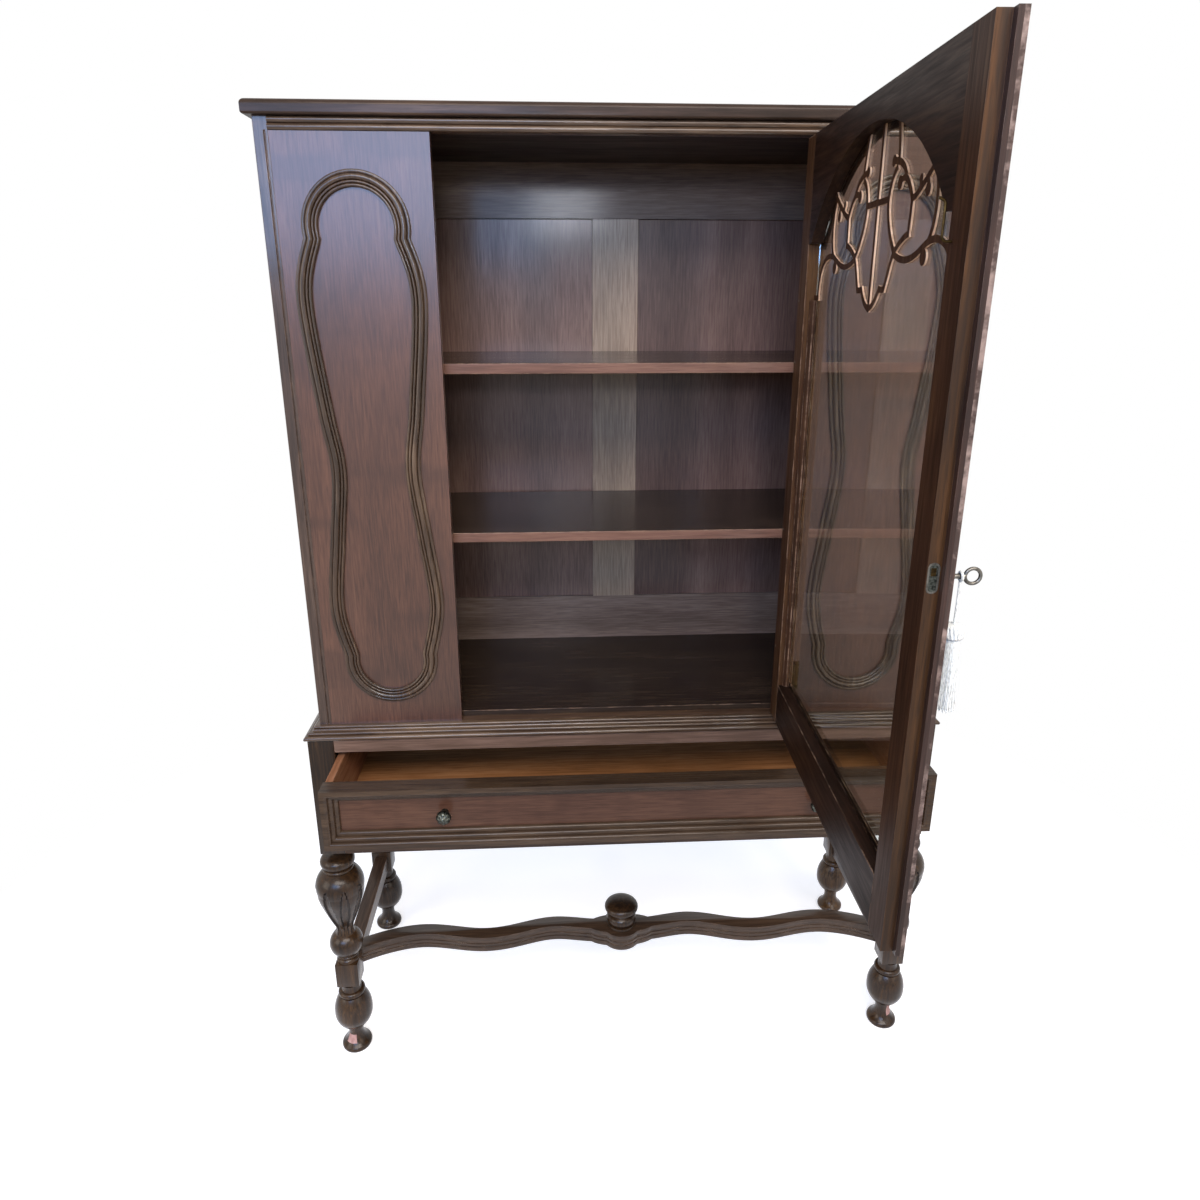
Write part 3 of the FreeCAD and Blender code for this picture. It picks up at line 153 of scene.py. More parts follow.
def stained_wood(
    name, tones, run, streak=5, gloss=(0.3, 0.5), shine=0.15, coat=0.2, veil=0.14, worn="#8d715d", wear=0.7,
    band=0.0, stripe=0.0,
):
    """Open-pored hardwood, stained dark and lacquered: streaks along the grain, fine dark pores, broad
    cloudy tone, a soft shine that the pores break, and paler wood where edges have rubbed through, on the door's
    lip also a painted highlight."""
    material, tree, shader = finish(name)
    at = add(tree, "TexCoord").outputs["Object"]
    board = add(tree, "Attribute", attribute_name="board")
    # every board comes from its own place in the log
    place = add(tree, "VectorMath", {
        0: board.outputs["Vector"], 1: (3.1, 5.7, 1.9), 2: at,
    }, operation="MULTIPLY_ADD").outputs[0]
    streaky_at = add(tree, "Mapping", {"Vector": place, "Scale": stretched(run, 0.05)}).outputs[0]
    cloudy_at = add(tree, "Mapping", {"Vector": place, "Scale": stretched(run, 0.3)}).outputs[0]
    streaks = add(tree, "TexNoise", {
        "Vector": streaky_at, "Scale": 1 / (streak * MM), "Detail": 6.0, "Roughness": 0.62, "Distortion": 0.4,
    })
    clouds = add(tree, "TexNoise", {
        "Vector": cloudy_at, "Scale": 1 / (110 * MM), "Detail": 3.0, "Roughness": 0.55, "Distortion": 0.6,
    })
    # pores are really 0.3 mm wide; 1.8 mm is as fine as shows from the camera
    pores = add(tree, "TexNoise", {
        "Vector": streaky_at, "Scale": 1 / (1.8 * MM), "Detail": 2.0, "Roughness": 0.5,
    })
    grain = add(tree, "Mix", {
        0: 0.45, 2: streaks.outputs["Fac"], 3: clouds.outputs["Fac"],
    }, data_type="FLOAT").outputs[0]
    toned = add(tree, "Math", {0: board.outputs["Fac"], 1: 0.12, 2: grain}, operation="MULTIPLY_ADD")
    colour = add(tree, "ValToRGB", {"Fac": toned.outputs[0]}, stops=[
        (0.42, tones[0]), (0.56, tones[1]), (0.72, tones[2]),
    ])
    closed = add(tree, "MapRange", {
        "Value": pores.outputs["Fac"], "From Min": 0.34, "From Max": 0.47, "To Min": 0.5, "To Max": 1.0,
    }).outputs[0]
    pored = add(tree, "Mix", {0: closed, 6: linear(tones[0]), 7: colour.outputs[0]}, data_type="RGBA")
    shown = pored.outputs[2]
    if band:
        shown = figure_bars(tree, place, run, shown, tones[0], band)
    if stripe:
        shown = glued_staves(tree, place, run, shown, stripe)
    rough = add(tree, "MapRange", {
        "Value": grain, "From Min": 0.35, "From Max": 0.65, "To Min": gloss[1], "To Max": gloss[0],
    })
    dents = add(tree, "Bump", {"Height": closed, "Strength": 0.25, "Distance": 0.15 * MM})
    # brushed lacquer, with the slight orange peel that breaks up a bright reflection
    peel = add(tree, "TexNoise", {"Vector": at, "Scale": 1 / (4 * MM), "Detail": 2.0})
    dimples = add(tree, "Bump", {"Height": peel.outputs["Fac"], "Strength": 0.3, "Distance": 0.12 * MM})
    feed(tree, shader, {
        "Base Color": worn_and_highlit_edges(tree, place, shown, worn, wear), "Roughness": rough.outputs[0],
        "Normal": dents.outputs[0], "IOR": 1.5, "Specular IOR Level": shine,
        "Coat Weight": coat, "Coat Roughness": veil, "Coat Normal": dimples.outputs[0],
    })
    return material


def window_glass():
    """Drawn sheet glass: clear and smooth, with a faint green cast."""
    material, tree, shader = finish("clear_sheet_glass")
    feed(tree, shader, {
        "Base Color": linear("#f4faf6"), "Roughness": 0.02, "IOR": 1.5, "Transmission Weight": 1.0,
    })
    return material


def aged_metal(name, tones, rough, grit=6):
    """Old cast or sheet metal, dulled by handling: darker in patches, with a soft broken shine."""
    material, tree, shader = finish(name)
    at = add(tree, "TexCoord").outputs["Object"]
    stain = add(tree, "TexNoise", {
        "Vector": at, "Scale": 1 / (grit * MM), "Detail": 5.0, "Roughness": 0.65,
    }).outputs["Fac"]
    colour = add(tree, "ValToRGB", {"Fac": stain}, stops=[(0.35, tones[0]), (0.65, tones[1])])
    dull = add(tree, "MapRange", {
        "Value": stain, "From Min": 0.3, "From Max": 0.7, "To Min": rough[1], "To Max": rough[0],
    })
    bump = add(tree, "Bump", {"Height": stain, "Strength": 0.2, "Distance": 0.2 * MM})
    feed(tree, shader, {
        "Base Color": colour.outputs[0], "Roughness": dull.outputs[0], "Normal": bump.outputs[0],
        "Metallic": 1.0,
    })
    return material


def cotton_yarn():
    """Spun cotton, off-white: matt, soft at the edge, with fine shaded plies about 1 mm apart."""
    material, tree, shader = finish("spun_cotton_yarn")
    at = add(tree, "TexCoord").outputs["Object"]
    plies_at = add(tree, "Mapping", {"Vector": at, "Scale": (1.0, 1.0, 0.25)})
    plies = add(tree, "TexNoise", {
        "Vector": plies_at.outputs[0], "Scale": 1 / (1.1 * MM), "Detail": 3.0,
    }).outputs["Fac"]
    colour = add(tree, "ValToRGB", {"Fac": plies}, stops=[(0.34, "#b6b6ac"), (0.56, "#e5e6de")])
    bump = add(tree, "Bump", {"Height": plies, "Strength": 0.5, "Distance": 0.4 * MM})
    feed(tree, shader, {
        "Base Color": colour.outputs[0], "Normal": bump.outputs[0], "Roughness": 0.9, "Sheen Weight": 0.3,
    })
    return material


# Case
WALNUT = {
    run: stained_wood("walnut_stained_" + run, ("#2a1c13", "#3d2b1f", "#564030"), run) for run in "xyz"
}
TOP = stained_wood("walnut_top_x", ("#241911", "#36271e", "#4c3a2d"), "x", shine=0.12, coat=0.12)
# painted light: a much lighter copy of the case walnut for the rail above the drawer, standing in for light from
# above
RAIL_PAINTED_LIGHT = stained_wood("walnut_rail_painted_light_x", ("#5a463a", "#745c4f", "#886f61"), "x")
POST = stained_wood(
    "walnut_post_z", ("#2c2018", "#43332a", "#5c4a3e"), "z", shine=0.2, coat=0.55, wear=0.25,
)
MOULDING = {
    run: stained_wood(
        "walnut_moulding_" + run, ("#2a1e15", "#453427", "#64503e"), run,
        gloss=(0.16, 0.3), shine=0.2, coat=0.45, wear=0.35,
    )
    for run in "xyz"
}
VENEER = stained_wood(
    "walnut_veneer_z", ("#38241c", "#4d3226", "#5f4031"), "z",
    streak=2.5, gloss=(0.3, 0.36), shine=0.25, coat=0.6, veil=0.22, band=0.45, wear=0.3,
)
BACK = {
    run: stained_wood("back_gumwood_" + run, tones, run, streak=3, shine=sheen, coat=sheen, stripe=0.25)
    for run, tones, sheen in (
        ("x", ("#5f4e45", "#77655a", "#8a776a"), 0.15),
        ("z", ("#4e3831", "#634b42", "#755c50"), 0.25),
    )
}
MUNTIN = stained_wood(
    "muntin_gumwood_z", ("#786352", "#927d69", "#a6917b"), "z",
    streak=3, shine=0.3, coat=0.25, stripe=0.15,
)
SHELF = stained_wood(
    "shelf_walnut_x", ("#251b17", "#33281f", "#43352c"), "x", gloss=(0.14, 0.26), shine=0.1, coat=0.12,
)
SHELF_EDGE = stained_wood("shelf_edge_x", ("#533a30", "#694b3f", "#7b5b4c"), "x")

# Stand
TURNED = stained_wood(
    "walnut_turned_z", ("#1b110a", "#372617", "#5a4128"), "z",
    gloss=(0.24, 0.36), shine=0.14, coat=0.28, veil=0.2, worn="#7d6c5a",
)
# painted shade: near-black walnut along the carved leaves' rims, where the grooves fall in shadow
LEAF_RIM_SHADE = stained_wood("walnut_leaf_rim_painted_shade_z", ("#120c08", "#1d140e", "#2a1e15"), "z", shine=0.1, coat=0.1)
BARE = stained_wood(
    "walnut_bare_z", ("#94706a", "#b58f88", "#c9a69c"), "z", shine=0.1, coat=0.0, gloss=(0.5, 0.7),
)
STRETCHER = stained_wood(
    "walnut_stretcher_x", ("#1f150f", "#342519", "#4b392b"), "x",
    shine=0.2, coat=0.3, worn="#b39c88", wear=1.0,
)

# Door
DOOR_WALNUT = {
    run: stained_wood("walnut_door_" + run, tones, run, shine=0.05, coat=0.0)
    for run, tones in (("y", ("#180f0a", "#281912", "#3b291b")), ("z", ("#24160e", "#392418", "#523924")))
}
DOOR_EDGE = stained_wood(
    "walnut_edge_bare_z", ("#1e1108", "#3b2512", "#5d3c20"), "z", streak=9, shine=0.2, coat=0.1,
)
# the lip's pale edge tone is partly rubbed wear and partly a painted highlight
DOOR_LIP_WORN_HIGHLIT = stained_wood(
    "walnut_lip_worn_highlit_z", ("#211511", "#35241e", "#48332b"), "z", shine=0.2, coat=0.2, worn="#9c877c", wear=0.9,
)
FRET_EDGE = stained_wood(
    "fret_cut_edge_z", ("#8f6c52", "#c39d80", "#dbb99c"), "z", coat=0.05, gloss=(0.4, 0.6),
)
GLASS = window_glass()

# Drawer
DRAWER_FRAME = stained_wood(
    "walnut_drawer_x", ("#221810", "#36281d", "#4d3c2d"), "x", gloss=(0.2, 0.34), wear=0.35,
)
DRAWER_VENEER = stained_wood(
    "walnut_veneer_x", ("#351f16", "#482f23", "#583c2d"), "x", streak=2.5, band=0.3,
)
DRAWER_SIDE = stained_wood(
    "drawer_oak_y", ("#5f3d27", "#7d5339", "#966a4e"), "y", shine=0.1, coat=0.0, gloss=(0.5, 0.7),
)
DRAWER_IN = stained_wood(
    "drawer_oak_x", ("#6a4628", "#8a5e3a", "#a2744e"), "x", shine=0.1, coat=0.0, gloss=(0.5, 0.7),
)

# Metal and yarn
BRASS = aged_metal("hinge_brass_aged", ("#241b10", "#4f3f24"), (0.35, 0.6))
BRONZE = aged_metal("knob_bronze_cast", ("#191a17", "#5f625c"), (0.28, 0.5), 3)
STEEL = aged_metal("lock_steel_plated", ("#4b4843", "#7f7b74"), (0.35, 0.55))
YARN = cotton_yarn()


# Ways of working

def stock(node):
    """A copy of a CAD node with its loose triangles merged and its flat faces made whole."""
    bm = bmesh.new()
    bm.from_mesh(frame["nodes"][node].data)
    bmesh.ops.remove_doubles(bm, verts=bm.verts, dist=0.005 * MM)
    bmesh.ops.dissolve_limit(bm, angle_limit=math.radians(0.05), verts=bm.verts, edges=bm.edges)
    return bm


def of_kind(parts, kind):
    """The vertices, edges or faces among what an operator made."""
    return [part for part in parts if isinstance(part, kind)]


def cut_across(bm, spot, facing):
    """Cut a shape's faces along a plane and keep both sides."""
    bmesh.ops.bisect_plane(
        bm, geom=bm.verts[:] + bm.edges[:] + bm.faces[:], plane_co=spot, plane_no=facing,
    )


def ease_edges(bm, width, sharper=30):
    """Round the arrises a little, as sanded wood has them, and mark the rounded strips for wear."""
    layer = bm.faces.layers.float.new("wear_and_highlight_edge")
    sharp = [e for e in bm.edges if e.is_manifold and e.calc_face_angle() > math.radians(sharper)]
    made = bmesh.ops.bevel(
        bm, geom=sharp, offset=width, offset_type="OFFSET", segments=2, profile=0.5, affect="EDGES",
        clamp_overlap=True, material=-1,
    )
    for face in made["faces"]:
        face[layer] = 1.0


def smooth_by_angle(bm, sharper=35):
    """Shade round stretches smooth and keep true corners crisp."""
    for face in bm.faces:
        face.smooth = True
    for edge in bm.edges:
        edge.smooth = edge.is_manifold and edge.calc_face_angle() < math.radians(sharper)


def place_piece(name, bm, materials, body, slot, *stands_for):
    """Turn a bmesh into a piece that rides on a body and stands for CAD nodes."""
    tone = random.Random(name).random()
    layer = bm.faces.layers.float.new("board")
    for face in bm.faces:
        face[layer] = tone
    mesh = bpy.data.meshes.new(name)
    bm.to_mesh(mesh)
    bm.free()
    if "custom_normal" in mesh.attributes:
        mesh.attributes.remove(mesh.attributes["custom_normal"])
    for material in materials:
        mesh.materials.append(material)
    item = bpy.data.objects.new(name, mesh)
    bpy.context.scene.collection.objects.link(item)
    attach(item, body)
    if stands_for:
        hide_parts(*stands_for)
    return item


def keep_faces_flat(item):
    """Shade a board's broad faces flat between its rounded arrises."""
    item.modifiers.new("flat_faces", "WEIGHTED_NORMAL").keep_sharp = True


def boards(nodes, material, slot, ease=0.8):
    """Planed boards: each node's own shape with softened edges."""
    for node in nodes:
        bm = stock(node)
        ease_edges(bm, ease * MM)
        smooth_by_angle(bm, 60)
        keep_faces_flat(place_piece(node + "_wood", bm, [material], BODY_OF[node], slot, node))


def shaped(nodes, material, slot):
    """Moulded work: each node's own shape, shaded smooth between its true corners."""
    for node in nodes:
        bm = stock(node)
        smooth_by_angle(bm)
        place_piece(node + "_work", bm, [material], BODY_OF[node], slot, node)


def spun(bm, centre, line, steps):
    """Spin a line of radius and level about an upright axis."""
    verts = [bm.verts.new((centre.x + radius, centre.y, level)) for radius, level in line]
    edges = [bm.edges.new(pair) for pair in zip(verts, verts[1:])]
    bmesh.ops.spin(
        bm, geom=verts + edges, cent=(centre.x, centre.y, 0), axis=(0, 0, 1), angle=math.tau, steps=steps,
        use_merge=True,
    )


def lathe(bm, centre, rings, steps):
    """Turn rings of radius and level, closed at both ends, about an upright axis."""
    spun(bm, centre, [(0, rings[0][1]), *rings, (0, rings[-1][1])], steps)
    bmesh.ops.remove_doubles(bm, verts=bm.verts, dist=0.01 * MM)
    bmesh.ops.recalc_face_normals(bm, faces=bm.faces)


def spline_through(spots, count):
    """Points on a smooth line through spots, count to each stretch."""
    line = []
    for index in range(len(spots) - 1):
        before = spots[max(index - 1, 0)]
        start, end = spots[index], spots[index + 1]
        after = spots[min(index + 2, len(spots) - 1)]
        pull = (end - before) / 6, (after - start) / 6
        line += interpolate_bezier(start, start + pull[0], end - pull[1], end, count + 1)[:-1]
    return line


# Turned legs. Levels up from the floor: the square block, the leaves on the bulb and the square head
BLOCK_LOW = 151 * MM
BLOCK_HIGH = 201 * MM
LEAF_LOW = 263 * MM
LEAF_TIP = 375 * MM
HEAD_LOW = 442 * MM
BLOCK_SIDE = 41 * MM
HEAD_SIDE = 43 * MM
# rings nearer than this to a square are its own corners and stay out of the turning
STEP = 0.1 * MM
# a longer stretch between two rings of the turning gets one more ring
LONG_STRETCH = 3 * MM
LEG_STEPS = 144
FINIAL_STEPS = 64
LEAVES = 8
LEAF_DEEP = 4.0 * MM
# half a leaf at its widest, as a share of the room round the bulb that each leaf has
LEAF_HALF = 0.44
# where the painted shade along each leaf's rim starts and ends, with the leaf's own edge at 1
SHADE_RIM_FROM, SHADE_RIM_TO = 0.74, 1.16
# bare wood where the ankle has been knocked: the way it faces in radians, and from and to which level
KNOCKS = {"leg_front_left": (-0.35, 15, 31), "leg_front_right": (0.75, 22, 47)}
KNOCK_HALF = 0.55


def rings_of(node, start, end):
    """Radius and level of each ring of an upright turned node from one level to another, lowest first."""
    low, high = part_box(node)
    centre = (low + high) / 2
    levels = {}
    for vert in frame["nodes"][node].data.vertices:
        if start <= vert.co.z <= end:
            radius = math.hypot(vert.co.x - centre.x, vert.co.y - centre.y)
            levels.setdefault(round(vert.co.z, 5), set()).add(round(radius, 5))
    rings = []
    for level in sorted(levels):
        # a level with two radii is a step, taken from the radius nearest the ring below
        below = rings[-1][0] if rings else max(levels[level])
        ends = {min(levels[level]), max(levels[level])}
        if rings and level - rings[-1][1] > LONG_STRETCH:
            rings.append(((below + min(ends)) / 2, (level + rings[-1][1]) / 2))
        rings += [(radius, level) for radius in sorted(ends, key=lambda radius: abs(radius - below))]
    return rings


def closer_rings(rings):
    """The same turning with rings twice as close where leaves are carved, so that their rims run true."""
    below = [ring for ring in rings if ring[1] <= LEAF_LOW]
    bulb = [Vector(ring) for ring in rings if LEAF_LOW < ring[1] < LEAF_TIP]
    above = [ring for ring in rings if ring[1] >= LEAF_TIP]
    line = [tuple(spot) for spot in [*spline_through(bulb, 2), *bulb[-1:]]]
    return below + line + above


def place_on_leaf(spot, centre):
    """How far up its leaf a spot on the bulb lies, and how far aside of its middle, with the rim at 1."""
    up = (spot.z - LEAF_LOW) / (LEAF_TIP - LEAF_LOW)
    if not 0 < up < 1:
        return up, math.inf
    half = LEAF_HALF * math.sqrt(1 - up) * min(1.0, 0.6 + up)
    turn = math.atan2(spot.y - centre.y, spot.x - centre.x)
    return up, abs((turn * LEAVES / math.tau) % 1 - 0.5) / half


def carve_leaves(bm, centre):
    """Sink pointed leaves into the bulb of a turned leg, with painted shade along their rims."""
    # faces along each leaf's rim take the painted shade
    for face in bm.faces:
        aside = place_on_leaf(face.calc_center_median(), centre)[1]
        if SHADE_RIM_FROM < aside < SHADE_RIM_TO:
            face.material_index = 2
    for vert in bm.verts:
        up, aside = place_on_leaf(vert.co, centre)
        if aside < 1:
            inward = Vector((centre.x - vert.co.x, centre.y - vert.co.y, 0)).normalized()
            vert.co += inward * LEAF_DEEP * min(1.0, up * 6) * (1 - aside ** 6)


def knock_bare(bm, centre, facing, start, end):
    """Show bare wood on the steep faces of one side of the ankle."""
    for face in bm.faces:
        spot = face.calc_center_median()
        turn = math.atan2(spot.x - centre.x, centre.y - spot.y)
        steep = abs(face.normal.z) < 0.9
        if steep and start < spot.z / MM < end and abs(turn - facing) < KNOCK_HALF:
            face.material_index = 1


def legs():
    """Legs turned to the frame's own rings, with leaves carved in the bulb, a square block and a square head."""
    for node in ("leg_front_left", "leg_front_right", "leg_back_left", "leg_back_right"):
        low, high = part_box(node)
        centre = (low + high) / 2
        bm = bmesh.new()
        for start, end in ((0, BLOCK_LOW - STEP), (BLOCK_HIGH + STEP, HEAD_LOW - STEP)):
            lathe(bm, centre, closer_rings(rings_of(node, start, end)), LEG_STEPS)
        carve_leaves(bm, centre)
        for side, start, end in ((BLOCK_SIDE, BLOCK_LOW, BLOCK_HIGH), (HEAD_SIDE, HEAD_LOW, high.z)):
            made = bmesh.ops.create_cube(bm, size=1)["verts"]
            bmesh.ops.scale(bm, verts=made, vec=(side, side, end - start))
            bmesh.ops.translate(bm, verts=made, vec=(centre.x, centre.y, (start + end) / 2))
            sides = {edge for vert in made for edge in vert.link_edges}
            bmesh.ops.bevel(
                bm, geom=list(sides), offset=1 * MM, segments=2, profile=0.5, affect="EDGES", material=-1,
            )
        smooth_by_angle(bm)
        if node in KNOCKS:
            knock_bare(bm, centre, *KNOCKS[node])
        place_piece(node + "_turned", bm, [TURNED, BARE, LEAF_RIM_SHADE], "case", "walnut", node)


def finial():
    """Flattened mushroom cap on a waisted stem, turned in one with its foot ring."""
    low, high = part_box("finial")
    reach = (high.x - low.x) / 2
    rise = high.z - low.z
    # radius as a share of the cap's, and level as a share of the height
    foot = [(0.8, 0.0), (0.84, 0.03), (0.8, 0.09)]
    stem = [(0.72, 0.1), (0.88, 0.26), (0.84, 0.42), (0.64, 0.54), (0.66, 0.6)]
    cap = [(0.72, 0.62), (0.94, 0.68), (1.0, 0.77), (0.9, 0.88), (0.6, 0.965), (0.2, 0.998)]
    rings = []
    for stretch in (foot, stem, cap):
        spots = [Vector((radius * reach, low.z + level * rise)) for radius, level in stretch]
        rings += [tuple(spot) for spot in [*spline_through(spots, 5), spots[-1]]]
    bm = bmesh.new()
    lathe(bm, (low + high) / 2, rings, FINIAL_STEPS)
    smooth_by_angle(bm)
    place_piece("finial_turned", bm, [TURNED], "case", "walnut", "finial")


def serpentine():
    """Wavy cross stretcher, dark on top, its moulded edges rubbed pale."""
    bm = stock("cross_stretcher")
    ease_edges(bm, 1.2 * MM, 40)
    smooth_by_angle(bm, 50)
    place_piece("cross_stretcher_work", bm, [STRETCHER], "case", "walnut", "cross_stretcher")


# Violin mouldings. The band's width, and how far the valleys between its reeds stand off the panel
VIOLIN_BAND = 23 * MM
VIOLIN_VALLEY = 3.4 * MM
REED_STEPS = 7
LOBE_STEPS = 28
SIDE_STEPS = 10
# how far out the cusps lie, as a share of the widest
SHOULDER = 0.77
# a sharper corner than this isn't mitred out any further
SHARPEST_MITRE = 0.35


def reed_section():
    """Section of the band, across and up: two fine reeds, a broad bead and an outer fillet."""
    # width as a share of the band, and height of the crest, from the inner edge out
    reeds = ((0.21, 6.6), (0.19, 7.0), (0.38, 8.0), (0.22, 4.8))
    section = [(-VIOLIN_BAND / 2, 0)]
    start = -VIOLIN_BAND / 2
    for share, crest in reeds:
        for step in range(REED_STEPS):
            turn = math.pi * step / REED_STEPS
            side = start + VIOLIN_BAND * share * (1 - math.cos(turn)) / 2
            section.append((side, VIOLIN_VALLEY + (crest * MM - VIOLIN_VALLEY) * math.sin(turn)))
        start += VIOLIN_BAND * share
    return section + [(VIOLIN_BAND / 2, VIOLIN_VALLEY), (VIOLIN_BAND / 2, 0)]


def lobe(reach, cusp, tip):
    """A round arc from one cusp over the tip to the other, without its last point."""
    sign = math.copysign(1, tip)
    rise = abs(tip - cusp)
    radius = (reach ** 2 + rise ** 2) / (2 * rise)
    spread = math.asin(min(1.0, reach / radius))
    if rise > radius:
        spread = math.pi - spread
    hub = tip - sign * radius
    arc = []
    for step in range(LOBE_STEPS):
        turn = -spread + 2 * spread * step / LOBE_STEPS
        arc.append(Vector((sign * radius * math.sin(turn), hub + sign * radius * math.cos(turn))))
    return arc


def violin_path(half, top):
    """Middle line of the band about its centre: a lobe above and below, joined by waisted sides."""
    tall = 2 * top
    # out as a share of the half width, and down as a share of the height
    shares = (
        (SHOULDER, 0.1), (1, 0.2), (0.83, 0.4), (0.69, 0.52), (0.82, 0.65), (0.97, 0.8), (SHOULDER, 0.908),
    )
    side = [Vector((half * out, top - tall * down)) for out, down in shares]
    right = spline_through(side, SIDE_STEPS)
    left = [Vector((-spot.x, spot.y)) for spot in reversed([*right, side[-1]])][:-1]
    upper = lobe(half * SHOULDER, side[0].y, top)
    lower = lobe(half * SHOULDER, side[-1].y, -top)
    return upper + right + lower + left


def stations_along(path, middle, back):
    """Where each cut of the band stands on a closed path, widened at the cusps so that the reeds mitre."""
    stations = []
    for index, spot in enumerate(path):
        before = (spot - path[index - 1]).normalized()
        after = (path[(index + 1) % len(path)] - spot).normalized()
        ahead = (before + after).normalized()
        out = Vector((-ahead.y, ahead.x)) / max(SHARPEST_MITRE, ahead.dot(after))
        stations.append(Matrix((
            (out.x, 0, ahead.x, middle.x + spot.x),
            (0, -1, 0, back),
            (out.y, 0, ahead.y, middle.z + spot.y),
            (0, 0, 0, 1),
        )))
    return stations


def violins():
    """Violin mouldings: the reeded band led once round its path on each fixed panel."""
    for node in ("violin_left", "violin_right"):
        low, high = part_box(node)
        half = (high.x - low.x - VIOLIN_BAND) / 2
        top = (high.z - low.z - VIOLIN_BAND) / 2
        stations = stations_along(violin_path(half, top), (low + high) / 2, high.y)
        bm = bmesh.new()
        ring = [bm.verts.new((across, up, 0)) for across, up in reed_section()]
        edges = [bm.edges.new(pair) for pair in zip(ring, ring[1:] + ring[:1])]
        bmesh.ops.transform(bm, verts=ring, matrix=stations[0])
        for here, there in zip(stations, stations[1:] + stations[:1]):
            grown = bmesh.ops.extrude_edge_only(bm, edges=edges)["geom"]
            ring = of_kind(grown, bmesh.types.BMVert)
            edges = of_kind(grown, bmesh.types.BMEdge)
            bmesh.ops.transform(bm, verts=ring, matrix=there @ here.inverted())
        bmesh.ops.remove_doubles(bm, verts=bm.verts, dist=0.02 * MM)
        bmesh.ops.recalc_face_normals(bm, faces=bm.faces)
        smooth_by_angle(bm, 50)
        place_piece(node + "_reeded", bm, [MOULDING["z"]], "case", "walnut", node)


# Door work. Places on the door are in millimetres: across from the hinge, out from the pivot's plane, and up
INNER_FACE = -27
LOCK_SPOT = (549, -20.5, 1117.5)
# the lip's outer third, from here out, is painted pale: partly rubbed wear, partly a painted highlight on its
# rounded front
LIP_WEAR_AND_HIGHLIGHT = (549, -8.5, 1117.5)
# faces this far past the closing edge belong to the lip
LIP_REACH = 2 * MM
HOOK_SPOT = (517, INNER_FACE, 1412)
NAIL_ACROSS = 3
NAIL_LEVELS = (1362, 1275, 1017, 817)


def door_spot(across, out, level):
    """A place on the door, in the frame."""
    return Vector((*DOOR_PIVOT, level * MM)) + DOOR_ACROSS * across * MM + DOOR_OUT * out * MM


def set_on_door(bm, verts, spot, facing):
    """Stand a shape made on the floor plane on a face of the door, its own up along facing."""
    turn = Matrix((UP.cross(facing), UP, facing)).transposed().to_4x4()
    bmesh.ops.transform(bm, verts=verts, matrix=Matrix.Translation(spot) @ turn)


def free_stile():
    """Closing stile: finished faces, a bare streaky closing edge and a lip painted pale along its outer third,
    partly rubbed wear and partly a painted highlight.
    """
    edge = door_spot(*LOCK_SPOT)
    rubbed = door_spot(*LIP_WEAR_AND_HIGHLIGHT)
    bm = stock("door_stile_free")
    cut_across(bm, rubbed, DOOR_OUT)
    ease_edges(bm, 1.0 * MM)
    layer = bm.faces.layers.float["wear_and_highlight_edge"]
    # the lip's outer strip takes the pale edge tone: rubbed wear and a painted highlight
    for face in bm.faces:
        centre = face.calc_center_median() - rubbed
        if centre.dot(DOOR_ACROSS) > LIP_REACH and centre.dot(DOOR_OUT) > 0:
            face[layer] = 0.8
    smooth_by_angle(bm, 60)
    for face in bm.faces:
        ahead = (face.calc_center_median() - edge).dot(DOOR_ACROSS)
        closes = face.normal.dot(DOOR_ACROSS) > 0.9 and ahead > -LIP_REACH
        face.material_index = 2 if ahead > LIP_REACH else 1 if closes else 0
    finishes = [DOOR_WALNUT["z"], DOOR_EDGE, DOOR_LIP_WORN_HIGHLIT]
    keep_faces_flat(place_piece("door_stile_free_wood", bm, finishes, "door", "walnut", "door_stile_free"))


def lock_rim():
    """Rim of the lock on the closing edge: a long ring with round ends, let in almost flush."""
    end_radius, half_straight, wall, proud = 5.8 * MM, 9.4 * MM, 1.8 * MM, 0.25 * MM
    bm = bmesh.new()
    for vert in bmesh.ops.create_circle(bm, cap_ends=True, radius=end_radius, segments=32)["verts"]:
        vert.co.y += math.copysign(half_straight, vert.co.y)
    rim = bmesh.ops.inset_region(
        bm, faces=bm.faces[:], thickness=wall, use_even_offset=True, use_boundary=True,
    )["faces"]
    hole = [face for face in bm.faces if face not in rim]
    bmesh.ops.delete(bm, geom=hole, context="FACES")
    walls = bmesh.ops.extrude_face_region(bm, geom=bm.faces[:])["geom"]
    bmesh.ops.translate(bm, verts=of_kind(walls, bmesh.types.BMVert), vec=(0, 0, proud))
    bmesh.ops.recalc_face_normals(bm, faces=bm.faces)
    set_on_door(bm, bm.verts, door_spot(*LOCK_SPOT), DOOR_ACROSS)
    smooth_by_angle(bm, 40)
    place_piece("lock_rim", bm, [STEEL], "door", "lock_metal")


